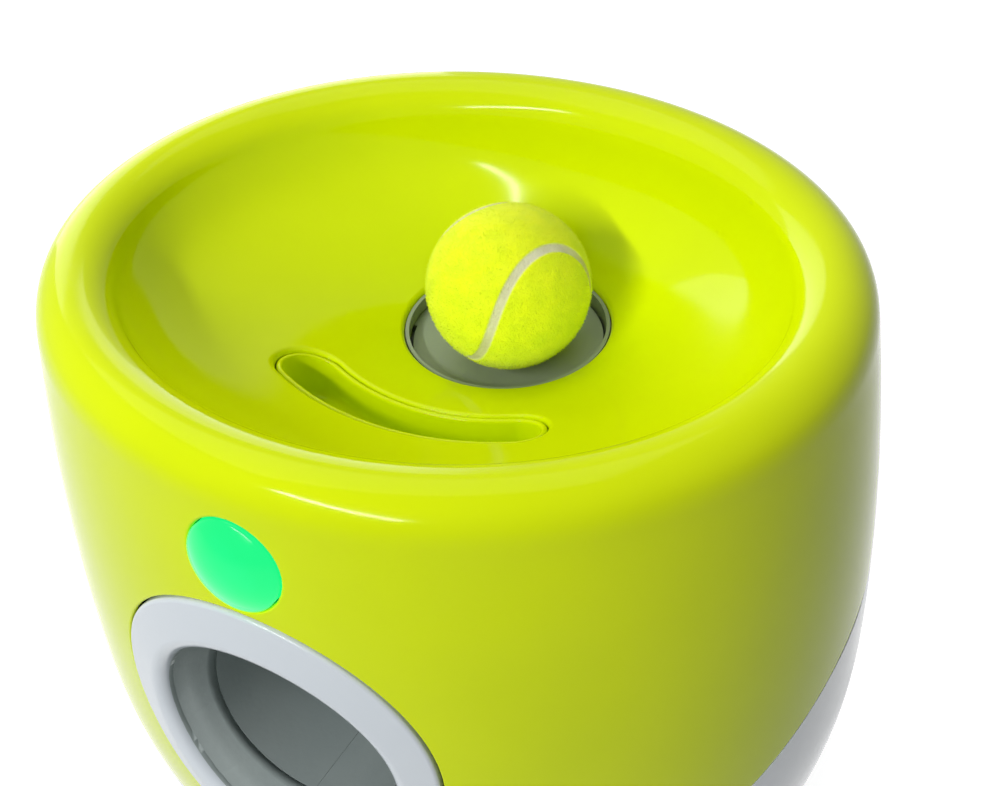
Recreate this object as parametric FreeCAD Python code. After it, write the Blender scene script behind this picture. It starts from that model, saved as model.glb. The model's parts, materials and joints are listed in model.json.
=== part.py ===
import FreeCAD, Part
import math
import os

# Automatic dog ball launcher. Millimetres, +Z up, the ball flies towards -Y and +X is on the
# launcher's left hand side. The origin is on the floor, under the middle of the casing.

V = FreeCAD.Vector
X_AXIS = V(1, 0, 0)
Y_AXIS = V(0, 1, 0)
Z_AXIS = V(0, 0, 1)

# --- Ball -------------------------------------------------------------------------------------
ball_radius = 25.5
ball_x = 5.0
ball_y = 26.0

# --- Clearances -------------------------------------------------------------------------------
seat_gap = 0.3              # between a piece and what it rests on or lies in
running_clearance = 0.05    # radial, shafts and pins that turn
fixed_clearance = 0.03      # radial, pins and screws that stay put
edge_gap = 0.4              # all round a door, a button or a let-in panel

# --- Casing: an oval drum with a rolled rim ---------------------------------------------------
height = 230.0
half_width = 128.5
widest_level = 107.0
oval_ratio = 0.895          # depth over width
upper_side_radius = 729.0   # curve of the side above the widest level
lower_side_radius = 190.0   # and below it
bottom_round = 4.0
foot_height = 3.5
rim_radius = 11.6
rim_end_angle = 170.0       # how far the roll goes round before the bowl starts
casing_wall = 2.5
row_spread = 1.5            # above 1 the casing's sections crowd where its outline bends sharply
corner_rows = 3             # sections on each stretch of the casing's outline
lower_rows = 10
upper_rows = 9
rim_rows = 8
bowl_rows = 9

# --- Bowl -------------------------------------------------------------------------------------
hole_radius = 33.0
hole_y = 33.0
hole_level = 178.0
crease_depth = 11.5         # of the hollow line between the rim and the bowl
bowl_power = 1.2            # above 1 the bowl steepens towards the hole
crease_power = 10.0

# --- Line where the lime cover meets the white base, seen from the side -----------------------
parting_middle_level = 102.0
parting_swing = 36.0
parting_middle_y = -59.0
parting_half_span = 85.0
parting_gap = 0.4
parting_points = 8

# --- Finger slot and its pocket ---------------------------------------------------------------
slot_bend_radius = 76.0     # nearly concentric with the bowl's hole
slot_middle_y = -35.0
slot_half_length = 33.0
slot_half_width = 10.0
pocket_wall = 1.8
pocket_floor_level = 174.0
pocket_drop = 1.0           # of the pocket's edge below the bowl's surface
pocket_flange = 5.0

# --- Launch axis ------------------------------------------------------------------------------
launch_tilt = 8.0
breech_level = 111.5
bore_radius = 27.0
muzzle_radius = 31.6
taper_start = 40.0
muzzle_end = 128.6          # along the launch axis from the breech
barrel_rear = 71.0
barrel_wall = 2.5
seam_gap = 0.1

# --- Outlet bezel -----------------------------------------------------------------------------
bezel_radius = 50.0
bezel_lift = 5.0            # of the bezel's middle above the launch axis
bezel_proud = 0.7
bezel_depth = 9.0
mouth_radius = 37.0
mouth_start = 142.3         # along the launch axis from the breech
lip_radius = 5.0
horn_wall = 2.5
bezel_gap = 0.3

# --- Ready light ------------------------------------------------------------------------------
lens_radius = 13.3
lens_level = 202.8
lens_recess = 0.8
lens_thickness = 3.5
lens_flange = 2.2
lens_flange_thickness = 1.2
lens_bore_depth = 9.0       # of the window's bore, in from the middle of its face
shroud_depth = 11.0
shroud_wall = 1.8
lens_board_margin = 1.2     # of the shroud's wall left outside the board
board_thickness = 1.6
led_reach = 5.0             # of the lamps from the board's middle, across and up
led_radius = 2.5
led_height = 3.2

# --- Throat, gate and ball switch -------------------------------------------------------------
throat_radius = 31.5
throat_wall = 2.5
throat_bottom = 118.0
throat_lip_drop = 1.0       # of the throat's edge below the bowl's hole
gate_drop = 5.8             # of the gate's top below the bowl's hole
gate_thickness = 2.5
gate_edge_gap = 1.0
gate_pivot_x = -50.0
gate_hub_radius = 6.0
gate_arm_width = 14.0
gate_hub_height = 5.0
gate_clearance = 0.6
gate_swing_room = 6.0       # of the throat's slot past the gate's arm
servo_length = 25.0
servo_width = 12.0
servo_height = 22.0
servo_shaft_radius = 2.4
servo_shaft_length = 6.5
servo_shaft_room = 1.2
bracket_thickness = 2.0
bracket_margin = 2.0
bracket_end = 1.5
throat_flange = 4.5
lug_angles = (-45.0, 60.0, 165.0)
lug_circle = 43.0
lug_radius = 5.0
lug_boss_radius = 3.4
lug_thickness = 1.7
lever_width = 4.0
lever_pivot_y = 72.0
lever_pivot_z = 160.0
lever_tip_y = 57.5
lever_tip_z = 147.0
lever_tip_radius = 1.5
lever_boss_radius = 3.4
lever_arm_half = 2.2
lever_pin_radius = 1.0
ear_gap = 1.4               # beside the lever
ear_wall = 2.0
ear_drop = 22.5             # of the ears' lower edge below the lever's pin
ear_rise = 4.0
ear_front = 0.5
lever_slot_gap = 1.0
switch_depth = 7.0
switch_height = 14.0
switch_side_gap = 0.2
switch_drop = 4.0           # of the switch's top below the lever's boss

# --- Plunger and its drive --------------------------------------------------------------------
plunger_clearance = 0.4
plunger_length = 14.0
plunger_wall = 4.0
pad_thickness = 2.2
pad_radius = 18.0
plunger_stroke = 22.0
cap_thickness = 2.8
cap_from_end = 2.6
cap_rim = 1.1               # of the cap in the barrel's groove
cap_play = 0.2
barrel_lip = 1.0            # behind the groove
spigot_gap = 1.5
spigot_length = 5.0
barrel_tabs = (60.0, 105.0) # along the launch axis
barrel_tab_half_length = 4.0
barrel_tab_half_width = 3.0
barrel_tab_rise = 6.0
barrel_screw_rise = 3.0
spring_radius = 17.0
spring_wire = 1.6
spring_turns = 6
spring_end_gap = 0.05
web_width = 8.0
web_sunk = 2.0              # into the plunger's wall
rack_end = 2.5              # of the plunger past the rack
slot_side_gap = 0.4
rack_module = 1.5
rack_drop = 2.0             # of the rack's back below the barrel
rack_thickness = 4.0
rack_teeth = 8
sector_pitch_teeth = 36
sector_teeth = 7
sector_width = 8.0
wheel_module = 1.25
wheel_teeth = 44
wheel_width = 5.0
small_idler_teeth = 16
motor_module = 1.0
large_idler_teeth = 40
large_idler_width = 4.0
pinion_teeth = 16
idler_angle = 185.0         # direction from the cocking gear to the idler, from +Y towards +Z
pinion_angle = 160.0        # direction from the idler to the motor pinion
mesh_play = 0.12
gear_side_gap = 1.0
gear_shaft_radius = 2.0
gear_hub_wall = 2.4
pressure_angle = 20.0
tooth_height = 0.9          # above the pitch line, in modules
root_depth = 1.2            # below it
flank_steps = 4
motor_radius = 12.0
motor_length = 38.0
motor_shaft_radius = 1.0
motor_shaft_length = 9.0
motor_bush_radius = 4.0
motor_cap_radius = 5.0
motor_cap_length = 2.0
motor_screw_reach = 8.0
terminal_reach = 7.0
terminal_length = 4.5
terminal_half_width = 1.2
terminal_thickness = 0.6

# --- Gearbox frame ----------------------------------------------------------------------------
plate_thickness = 2.5
plate_inner_half = 12.0
plate_front = -10.0
plate_margin = 4.5          # past the largest wheel and the motor
tab_reach = 8.0
tab_length = 14.0
tab_level = 9.5
tab_places = (-2.0, 69.0)
spacer_radius = 3.0
front_spacer = (-23.3, -13.8)   # from the idler's middle, across and up
upper_spacer = (10.7, 26.2)
rear_spacer = (27.3, -23.1)     # from the cocking gear's middle
plate_top_drop = 10.0       # of the plates' top below the launch axis at the breech
plate_rear_step = 10.0
plate_rear_low = 19.0       # below the cocking gear's middle
plate_rear_high = 5.0
plate_shoulder = (6.0, 17.0)
plate_crest = 3.0           # past the idler's middle
plate_nose_round = (1.0, 3.0)
saddle_rear_room = 9.0

# --- Batteries --------------------------------------------------------------------------------
cell_radius = 12.9
cell_length = 50.0
cell_nub_radius = 3.3
cell_nub_length = 1.8
cell_pitch = 27.0
cell_count = 4
cell_rest_level = 7.0
cell_room = 0.8             # beside the outer cells
tray_wall = 1.8
tray_middle_y = -41.0
tray_end_room = 3.4
tray_headroom = 1.0
door_step = 1.5             # ledge that stops the door
door_step_level = 4.8
door_pad_rise = 0.6
contact_size = 12.0
contact_thickness = 0.5
contact_spring_wall = 1.0

# --- Screw towers, feet, circuit board and speaker --------------------------------------------
tower_x = 80.0
tower_y = 40.0
tower_radius = 5.5
tower_meet_level = 120.0
tower_bore = 3.8
tower_seat = 8.0
tab_post_radius = 3.6
foot_radius = 7.0
foot_x = 64.0
foot_y = 54.0
foot_recess = 1.2
pcb_x = -48.0
pcb_y = 21.0
pcb_width = 44.0
pcb_length = 58.0
pcb_standoff = 10.0
pcb_margin = 3.5
pcb_post_radius = 3.0
pcb_blocks = ((0, 2, 12, 12, 1.6), (-12, -12, 8, 6, 4), (12, -14, 10, 7, 6),
              (-6, 20, 14, 6, 7), (10, 20, 10, 6, 7))   # middle, length, width and height
capacitor_places = ((-13, 8), (14, 4))
capacitor_radius = 4.0
capacitor_height = 12.0
speaker_x = 48.0
speaker_y = 52.0
speaker_radius = 16.0
speaker_height = 9.0
speaker_rim = 2.0           # its thickness and its width
speaker_ring_wall = 2.0
speaker_ring_height = 4.0
sound_hole_radius = 1.6
sound_hole_count = 6        # round the one in the middle

# --- Rear controls ----------------------------------------------------------------------------
panel_level = 58.0
panel_half_width = 30.0
panel_half_height = 11.0
panel_sink = 12.5           # of the flat that the panel lies on, in from the casing's rear
panel_thickness = 1.2
button_radius = 5.4
button_round = 0.8
button_flange = 1.4
button_flange_reach = 1.0
button_travel = 1.0
button_proud = 2.0
power_button_x = -18.0
range_button_x = 0.0
jack_x = 16.5
jack_body_half = 5.2
jack_radius = 4.2
jack_hole_radius = 3.0
jack_pin_radius = 1.0
jack_depth = 9.0
indicator_radius = 1.3
indicator_pitch = 5.0
indicator_rise = 8.6
control_board_depth = 10.0  # of its rear face behind the panel's flat
control_board_margin = 1.0  # above and below; twice that at the sides
control_post_inset = 5.0
control_post_drop = 4.0
control_post_radius = 2.6
switch_half = 3.0
switch_body = 1.6
switch_stem_radius = 1.7

# --- Fasteners --------------------------------------------------------------------------------
screw_radius = 1.4
screw_head_radius = 2.8
screw_head_height = 1.8
screw_end_gap = 0.5
cover_screw_length = 19.0
throat_screw_length = 7.0
servo_screw_length = 5.5
barrel_screw_length = 5.8
frame_screw_length = 7.5
spacer_screw_length = 8.5
motor_screw_length = 5.5
board_screw_length = 8.5
control_screw_length = 6.5

TILT = math.radians(launch_tilt)
LAUNCH = V(0, -math.cos(TILT), math.sin(TILT))
LIFT = V(0, math.sin(TILT), math.cos(TILT))
BREECH = V(0, hole_y, breech_level)


# --- General helpers --------------------------------------------------------------------------
def box(x0, x1, y0, y1, z0, z1):
    return Part.makeBox(x1 - x0, y1 - y0, z1 - z0, V(x0, y0, z0))


def rod(radius, start, end):
    """Round bar from one point to another."""
    return Part.makeCylinder(radius, (end - start).Length, start, end - start)


def tube(outer, inner, start, end):
    return rod(outer, start, end).cut(rod(inner, start, end))


def prism(points, direction):
    """Straight-sided solid on a closed outline of points."""
    return Part.Face(Part.makePolygon(points + [points[0]])).extrude(direction)


def fused(shapes):
    return shapes[0].multiFuse(shapes[1:]).removeSplitter()


def without(shape, tools):
    for tool in tools:
        shape = shape.cut(tool)
    return shape


def screw(seat, into, length):
    """Pan-head screw: its head stands on the seat, its shank runs into the work."""
    way = V(into).normalize()
    head = rod(screw_head_radius, seat - way * screw_head_height, seat)
    return head.fuse(rod(screw_radius, seat, seat + way * length)).removeSplitter()


def screw_hole(seat, into, length):
    """Hole for a screw of that length, with room past its end."""
    way = V(into).normalize()
    return rod(screw_radius + fixed_clearance, seat - way, seat + way * (length + screw_end_gap))


def on_launch(along, lift=0.0, x=0.0):
    """Point given by its distance along the launch axis from the breech, and across it."""
    return BREECH + LAUNCH * along + LIFT * lift + X_AXIS * x


def launch_turned(points, lift=0.0):
    """Solid of revolution about the launch axis from (along, radius) points or edges."""
    def place(point):
        return on_launch(point[0], lift + point[1])

    edges = []
    for piece in points:
        if len(piece) == 2:
            edges.append(Part.makeLine(place(piece[0]), place(piece[1])))
        else:
            edges.append(Part.Arc(*[place(point) for point in piece]).toShape())
    face = Part.Face(Part.Wire(edges))
    return face.revolve(on_launch(0, lift), LAUNCH, 360)


def outline(points):
    """Closed chain of straight pieces through the points."""
    return [(a, b) for a, b in zip(points, points[1:] + points[:1])]


# --- Casing surfaces --------------------------------------------------------------------------
def oval(half_x, half_y, middle_y, level):
    """Level oval in two arcs that meet in the launcher's middle plane."""
    middle = V(0, middle_y, level)
    curve = Part.Circle(middle, Z_AXIS, half_x)
    if half_x - half_y > 1e-6:
        curve = Part.Ellipse(V(half_x, middle_y, level), V(0, middle_y + half_y, level), middle)
    quarter = math.pi / 2
    return Part.Wire([curve.toShape(-quarter, quarter), curve.toShape(quarter, 3 * quarter)])


def side_half_width(level):
    """Half width of the casing at a level, below the rolled rim."""
    radius = upper_side_radius if level > widest_level else lower_side_radius
    return half_width - radius + math.sqrt(radius ** 2 - (level - widest_level) ** 2)


def rim_centre():
    rise = height - rim_radius - widest_level
    reach = math.sqrt((upper_side_radius - rim_radius) ** 2 - rise ** 2)
    return half_width - upper_side_radius + reach, height - rim_radius


def side_sections(inset):
    """Ovals up the outside of the casing, from the bottom to the start of the rim."""
    bottom = foot_height + inset
    corner = max(bottom_round - inset, 1.0)
    rows = []
    for step in range(corner_rows + 1):
        turn = math.pi / 2 * step / corner_rows
        level = bottom + corner * (1 - math.cos(turn))
        rows.append((level, side_half_width(bottom + corner) - corner * (1 - math.sin(turn))))
    for step in range(1, lower_rows + 1):
        level = bottom + corner + (widest_level - bottom - corner) * (step / lower_rows) ** row_spread
        rows.append((level, side_half_width(level)))
    centre, level = rim_centre()
    turn = math.atan2(level - widest_level, centre - half_width + upper_side_radius)
    top = widest_level + upper_side_radius * math.sin(turn)
    for step in range(1, upper_rows + 1):
        level = top - (top - widest_level) * (1 - step / upper_rows) ** row_spread
        rows.append((level, side_half_width(level)))
    return [(r - inset, r * oval_ratio - inset, 0.0, z) for z, r in rows], turn


def casing_sections(inset):
    """Ovals over the whole casing: up the side, round the rim and down the bowl."""
    rows, turn = side_sections(inset)
    centre, level = rim_centre()
    shoulder = centre + rim_radius * math.cos(turn)
    end = math.radians(rim_end_angle)
    for step in range(1, rim_rows + 1):
        angle = turn + (end - turn) * step / rim_rows
        half_x = centre + (rim_radius - inset) * math.cos(angle)
        half_y = shoulder * oval_ratio - (shoulder - half_x)
        rows.append((half_x, half_y, 0.0, level + (rim_radius - inset) * math.sin(angle)))
    start_x, start_y, _, start_z = rows[-1]
    low = hole_level - inset
    for step in range(1, bowl_rows + 1):
        share = (step / bowl_rows) ** row_spread
        fall = (start_z - crease_depth - low) * (1 - share ** bowl_power)
        crease = crease_depth * (1 - share) ** crease_power
        rows.append((start_x + (hole_radius - start_x) * share,
                     start_y + (hole_radius - start_y) * share,
                     hole_y * share, low + fall + crease))
    return rows


def envelope(inset):
    """Solid inside the casing's outer surface, moved inwards by the inset."""
    return Part.makeLoft([oval(*row) for row in casing_sections(inset)], True, False)


def parting_level(y):
    share = max(-1.0, min(1.0, (y - parting_middle_y) / parting_half_span))
    return parting_middle_level + parting_swing * math.sin(math.pi / 2 * share)


def above_parting(lift):
    """Everything above the line between cover and base, raised by the lift."""
    reach = half_width + 20.0
    flat_from = parting_middle_y + parting_half_span
    low = parting_middle_y - parting_half_span
    points = []
    for step in range(parting_points + 1):
        y = low + (flat_from - low) * step / parting_points
        points.append(V(-reach, y, parting_level(y) + lift))
    curve = Part.BSplineCurve()
    slope = V(0, 1, 0)
    curve.interpolate(points, InitialTangent=slope, FinalTangent=slope)
    corner = [points[-1], V(-reach, reach, points[-1].z), V(-reach, reach, height + 20.0),
              V(-reach, low, height + 20.0), points[0]]
    edges = [curve.toShape()]
    edges += [Part.makeLine(a, b) for a, b in zip(corner, corner[1:])]
    return Part.Face(Part.Wire(edges)).extrude(V(2 * reach, 0, 0))


def crescent(grow, bottom, top):
    """Upright bar with the finger slot's outline, grown all round."""
    middle = V(0, slot_middle_y + slot_bend_radius, bottom)
    sweep = math.asin(slot_half_length / slot_bend_radius)
    half = slot_half_width + grow

    def at(radius, angle):
        return middle + V(radius * math.sin(angle), -radius * math.cos(angle), 0)

    def end(angle):
        along = V(math.cos(angle), math.sin(angle), 0)
        return at(slot_bend_radius, angle) + along * math.copysign(half, angle)

    outer = slot_bend_radius + half
    inner = slot_bend_radius - half
    arcs = [Part.Arc(at(outer, -sweep), at(outer, 0), at(outer, sweep)),
            Part.Arc(at(outer, sweep), end(sweep), at(inner, sweep)),
            Part.Arc(at(inner, sweep), at(inner, 0), at(inner, -sweep)),
            Part.Arc(at(inner, -sweep), end(-sweep), at(outer, -sweep))]
    face = Part.Face(Part.Wire([arc.toShape() for arc in arcs]))
    return face.extrude(V(0, 0, top - bottom))


# --- Shared places ----------------------------------------------------------------------------
inside_floor = foot_height + casing_wall
gate_top = hole_level - gate_drop
ball_level = gate_top + seat_gap + ball_radius
hub_bottom = gate_top - gate_hub_height
servo_top = hub_bottom - gate_clearance - bracket_thickness
flange_bottom = gate_top + gate_clearance
barrel_outer = bore_radius + barrel_wall
pad_face = ball_radius + 0.8
plunger_face = pad_face + pad_thickness
plunger_back = plunger_face + plunger_length
cap_back = barrel_rear - cap_from_end
cap_face = cap_back - cap_thickness
rack_rear = plunger_back - rack_end
rack_back = barrel_outer + rack_drop
rack_root = rack_back + rack_thickness
rack_pitch = math.pi * rack_module
rack_mesh = rack_rear - rack_pitch * 1.5
sector_radius = rack_module * sector_pitch_teeth / 2
wheel_radius = wheel_module * wheel_teeth / 2


def toward(centre, degrees, distance):
    """Point in the launcher's middle plane, seen from its left side."""
    angle = math.radians(degrees)
    return centre + V(0, math.cos(angle), math.sin(angle)) * distance


rack_pitch_line = rack_root + root_depth * rack_module
rack_direction = 90.0 - launch_tilt
cocking_centre = on_launch(-rack_mesh, -rack_pitch_line - sector_radius)
idler_reach = wheel_module * (wheel_teeth + small_idler_teeth) / 2
idler_centre = toward(cocking_centre, idler_angle, idler_reach)
pinion_reach = motor_module * (large_idler_teeth + pinion_teeth) / 2
motor_centre = toward(idler_centre, pinion_angle, pinion_reach)
large_idler_start = sector_width / 2 + gear_side_gap
plate_outer_half = plate_inner_half + plate_thickness
lens_lift = (V(0, -side_half_width(lens_level) * oval_ratio, lens_level) - BREECH).dot(LIFT)
lens_seat = (V(0, -side_half_width(lens_level) * oval_ratio, lens_level) - BREECH).dot(LAUNCH)
shroud_back = lens_seat - shroud_depth
lens_start = lens_seat - lens_bore_depth
shroud_inner = lens_radius + lens_flange + seat_gap
cell_level = cell_rest_level + cell_radius
tray_half_x = cell_pitch * (cell_count - 1) / 2 + cell_radius + cell_room
tray_half_y = (cell_length + tray_end_room) / 2
tray_top = cell_rest_level + 2 * cell_radius + tray_headroom
panel_plane = half_width * oval_ratio - panel_sink
panel_back = panel_plane - casing_wall
control_board_y = panel_plane - control_board_depth
switch_face = panel_back - seat_gap - button_flange - button_travel - seat_gap
tower_places = [(x, y) for x in (-tower_x, tower_x) for y in (-tower_y, tower_y)]
tower_screw_seat = tower_meet_level - tower_seat
pcb_top = inside_floor + pcb_standoff + board_thickness


def launch_block(along, lift, x):
    """Block squared to the launch axis, given by its three ranges."""
    corners = [(along[0], lift[0]), (along[1], lift[0]), (along[1], lift[1]), (along[0], lift[1])]
    return prism([on_launch(a, b, x[0]) for a, b in corners], X_AXIS * (x[1] - x[0]))


def launch_rod(radius, start, end, lift=0.0):
    return rod(radius, on_launch(start, lift), on_launch(end, lift))


# --- Casing pieces ----------------------------------------------------------------------------
outer_body = envelope(0.0)
middle_body = envelope(casing_wall / 2)
inner_body = envelope(casing_wall)
casing_skin = outer_body.cut(inner_body)
hole_axis = V(0, hole_y, 0)
past_casing = lens_seat + 30.0
front_half = barrel_rear + 30.0


def lug_places():
    places = []
    for degrees in lug_angles:
        angle = math.radians(degrees)
        places.append(hole_axis + V(math.cos(angle), math.sin(angle), 0) * lug_circle)
    return places


def top_cover():
    """Lime upper casing: side wall, rolled rim and bowl in one moulding."""
    wall = casing_skin.common(above_parting(parting_gap))
    inside = []
    for x, y in tower_places:
        post = rod(tower_radius, V(x, y, tower_meet_level), V(x, y, height))
        inside.append(post.common(middle_body))
    for place in lug_places():
        boss = rod(lug_boss_radius, place + Z_AXIS * (flange_bottom + lug_thickness), place + Z_AXIS * height)
        inside.append(boss.common(middle_body))
    shroud = launch_rod(shroud_inner + shroud_wall, shroud_back, past_casing, lens_lift)
    inside.append(shroud.common(middle_body))
    cover = fused([wall] + inside)
    shroud_bore = launch_rod(shroud_inner, shroud_back - 1, past_casing, lens_lift)
    cuts = [shroud_bore.common(inner_body),
            launch_rod(lens_radius + bezel_gap, lens_start, past_casing, lens_lift),
            launch_rod(bezel_radius + bezel_gap, front_half, past_casing, bezel_lift),
            rod(hole_radius, hole_axis + Z_AXIS * tower_meet_level, hole_axis + Z_AXIS * height),
            crescent(0.0, pocket_floor_level, height)]
    for x, y in tower_places:
        cuts.append(screw_hole(V(x, y, tower_screw_seat), Z_AXIS, cover_screw_length))
    for place in lug_places():
        cuts.append(screw_hole(place + Z_AXIS * flange_bottom, Z_AXIS, throat_screw_length))
    return without(cover, cuts)


def base_floor_openings():
    """Battery opening, screw wells, sound holes and seats for the feet."""
    upper_x = tray_half_x - edge_gap
    upper_y = tray_half_y - edge_gap
    lower_x = upper_x + door_step
    lower_y = upper_y + door_step
    cuts = [box(-upper_x, upper_x, tray_middle_y - upper_y, tray_middle_y + upper_y, 0, inside_floor + 1),
            box(-lower_x, lower_x, tray_middle_y - lower_y, tray_middle_y + lower_y, 0, door_step_level)]
    for x, y in tower_places:
        cuts.append(rod(tower_bore, V(x, y, 0), V(x, y, tower_screw_seat)))
        cuts.append(rod(screw_radius + edge_gap, V(x, y, 0), V(x, y, height)))
    for x in (-foot_x, foot_x):
        for y in (-foot_y, foot_y):
            cuts.append(rod(foot_radius + fixed_clearance, V(x, y, 0), V(x, y, foot_height + foot_recess)))
    for step in range(sound_hole_count + 1):
        angle = 2 * math.pi * step / sound_hole_count
        reach = speaker_radius / 2 if step else 0.0
        x = speaker_x + reach * math.cos(angle)
        y = speaker_y + reach * math.sin(angle)
        cuts.append(rod(sound_hole_radius, V(x, y, 0), V(x, y, inside_floor + 1)))
    return cuts


def pcb_corners():
    half_x = pcb_width / 2 - pcb_margin
    half_y = pcb_length / 2 - pcb_margin
    return [V(pcb_x + a * half_x, pcb_y + b * half_y, 0) for a in (-1, 1) for b in (-1, 1)]


def plate_tab_centres():
    reach = plate_outer_half + tab_reach / 2
    return [V(side * reach, y, 0) for side in (-1, 1) for y in tab_places]


def panel_cuts():
    """Holes that the rear controls come out of, through the panel and the wall behind it."""
    start = switch_face
    end = panel_plane + panel_thickness + 1
    holes = []
    for x in (power_button_x, range_button_x):
        holes.append(rod(button_radius + edge_gap, V(x, start, panel_level), V(x, end, panel_level)))
    holes.append(rod(jack_radius + edge_gap, V(jack_x, start, panel_level), V(jack_x, end, panel_level)))
    for x in indicator_places():
        low = V(x, start, panel_level + indicator_rise)
        holes.append(rod(indicator_radius + fixed_clearance, low, V(x, end, low.z)))
    return holes


def indicator_places():
    return [range_button_x + step * indicator_pitch for step in (-1, 0, 1)]


def control_posts():
    half_x = panel_half_width - control_post_inset
    half_z = panel_half_height - control_post_drop
    return [V(a * half_x, control_board_y + board_thickness, panel_level + b * half_z)
            for a in (-1, 1) for b in (-1, 1)]


def base_shell():
    """White lower casing with its floor, screw towers and rear control recess."""
    wall = casing_skin.cut(above_parting(0.0))
    half_x = panel_half_width + edge_gap
    half_z = panel_half_height + edge_gap
    surround = box(-half_x - casing_wall, half_x + casing_wall, panel_back, half_width,
                   panel_level - half_z - casing_wall, panel_level + half_z + casing_wall)
    inside = [surround.common(middle_body)]
    for x, y in tower_places:
        tower = rod(tower_radius, V(x, y, 0), V(x, y, tower_meet_level - parting_gap))
        inside.append(tower.common(middle_body))
    sunk = V(0, 0, inside_floor - casing_wall / 2)
    for corner in pcb_corners():
        inside.append(rod(pcb_post_radius, corner + sunk, corner + Z_AXIS * (inside_floor + pcb_standoff)))
    for centre in plate_tab_centres():
        inside.append(rod(tab_post_radius, centre + sunk, centre + Z_AXIS * tab_level))
    for post in control_posts():
        inside.append(rod(control_post_radius, post, V(post.x, panel_back + 1, post.z)))
    speaker_middle = V(speaker_x, speaker_y, 0)
    ring = speaker_radius + seat_gap
    inside.append(tube(ring + speaker_ring_wall, ring, speaker_middle + sunk,
                       speaker_middle + Z_AXIS * (inside_floor + speaker_ring_height)))
    base = fused([wall] + inside)
    cuts = base_floor_openings() + panel_cuts()
    cuts.append(box(-half_x, half_x, panel_plane, half_width, panel_level - half_z, panel_level + half_z))
    for corner in pcb_corners():
        cuts.append(screw_hole(corner + Z_AXIS * pcb_top, -Z_AXIS, board_screw_length))
    for centre in plate_tab_centres():
        seat = centre + Z_AXIS * (tab_level + plate_thickness)
        cuts.append(screw_hole(seat, -Z_AXIS, frame_screw_length))
    for post in control_posts():
        cuts.append(screw_hole(V(post.x, control_board_y, post.z), Y_AXIS, control_screw_length))
    return without(base, cuts)


def outlet_bezel():
    """White ring round the outlet, with the horn that leads the barrel out to it."""
    front = envelope(-bezel_proud)
    ring = launch_rod(bezel_radius, front_half, past_casing, bezel_lift)
    ring = ring.common(front).cut(envelope(bezel_depth))
    outer = [(muzzle_end, 0), (muzzle_end, muzzle_radius + horn_wall),
             (mouth_start, mouth_radius + horn_wall), (past_casing, mouth_radius + horn_wall),
             (past_casing, 0)]
    horn = launch_turned(outline(outer)).common(envelope(bezel_depth / 2))
    bore = [(muzzle_end - 1, 0), (muzzle_end - 1, muzzle_radius), (muzzle_end, muzzle_radius),
            (mouth_start, mouth_radius), (past_casing, mouth_radius), (past_casing, 0)]
    bezel = fused([ring, horn]).cut(launch_turned(outline(bore)))
    return rounded_mouth(bezel)


def rounded_mouth(bezel):
    """Rounds the edge where the mouth meets the front of the ring."""
    found = []
    for edge in bezel.Edges:
        middle = edge.valueAt((edge.FirstParameter + edge.LastParameter) / 2) - BREECH
        radius = (middle - LAUNCH * middle.dot(LAUNCH)).Length
        closed = edge.isClosed() or edge.Length > mouth_radius
        if closed and abs(radius - mouth_radius) < 0.05 and middle.dot(LAUNCH) > mouth_start - 1.5:
            found.append(edge)
    front = max(edge.CenterOfMass.dot(LAUNCH) for edge in found)
    return bezel.makeFillet(lip_radius, [e for e in found if e.CenterOfMass.dot(LAUNCH) > front - 1.0])


def handle_pocket():
    """Lime tub behind the finger slot, with a flange under the bowl."""
    top = outer_body.copy()
    top.translate(Z_AXIS * -pocket_drop)
    tub = crescent(-seat_gap, pocket_floor_level, height).common(top)
    hollow = crescent(-seat_gap - pocket_wall, pocket_floor_level + pocket_wall, height)
    under = inner_body.copy()
    under.translate(Z_AXIS * -seat_gap)
    below = inner_body.copy()
    below.translate(Z_AXIS * (-seat_gap - pocket_wall))
    flange = crescent(pocket_flange, pocket_floor_level + pocket_wall, height).common(under).cut(below)
    return fused([tub, flange]).cut(hollow)


def ready_lens():
    """Round green light window, set a little below the lime wall around it."""
    window = launch_rod(lens_radius, lens_start, past_casing, lens_lift)
    window = window.common(envelope(lens_recess)).cut(envelope(lens_recess + lens_thickness))
    flange = launch_rod(lens_radius + lens_flange, lens_start, past_casing, lens_lift)
    behind = casing_wall + seat_gap
    flange = flange.common(envelope(behind)).cut(envelope(behind + lens_flange_thickness))
    return fused([window, flange])


def lens_board():
    """Small round board that carries four lamps behind the window."""
    start = shroud_back - board_thickness
    radius = shroud_inner + shroud_wall - lens_board_margin
    pieces = [launch_rod(radius, start, shroud_back, lens_lift)]
    for side_x in (-led_reach, led_reach):
        for rise in (-led_reach, led_reach):
            base = on_launch(shroud_back, lens_lift + rise, side_x)
            pieces.append(rod(led_radius, base, base + LAUNCH * led_height))
    return fused(pieces).common(envelope(casing_wall + seat_gap))


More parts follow.
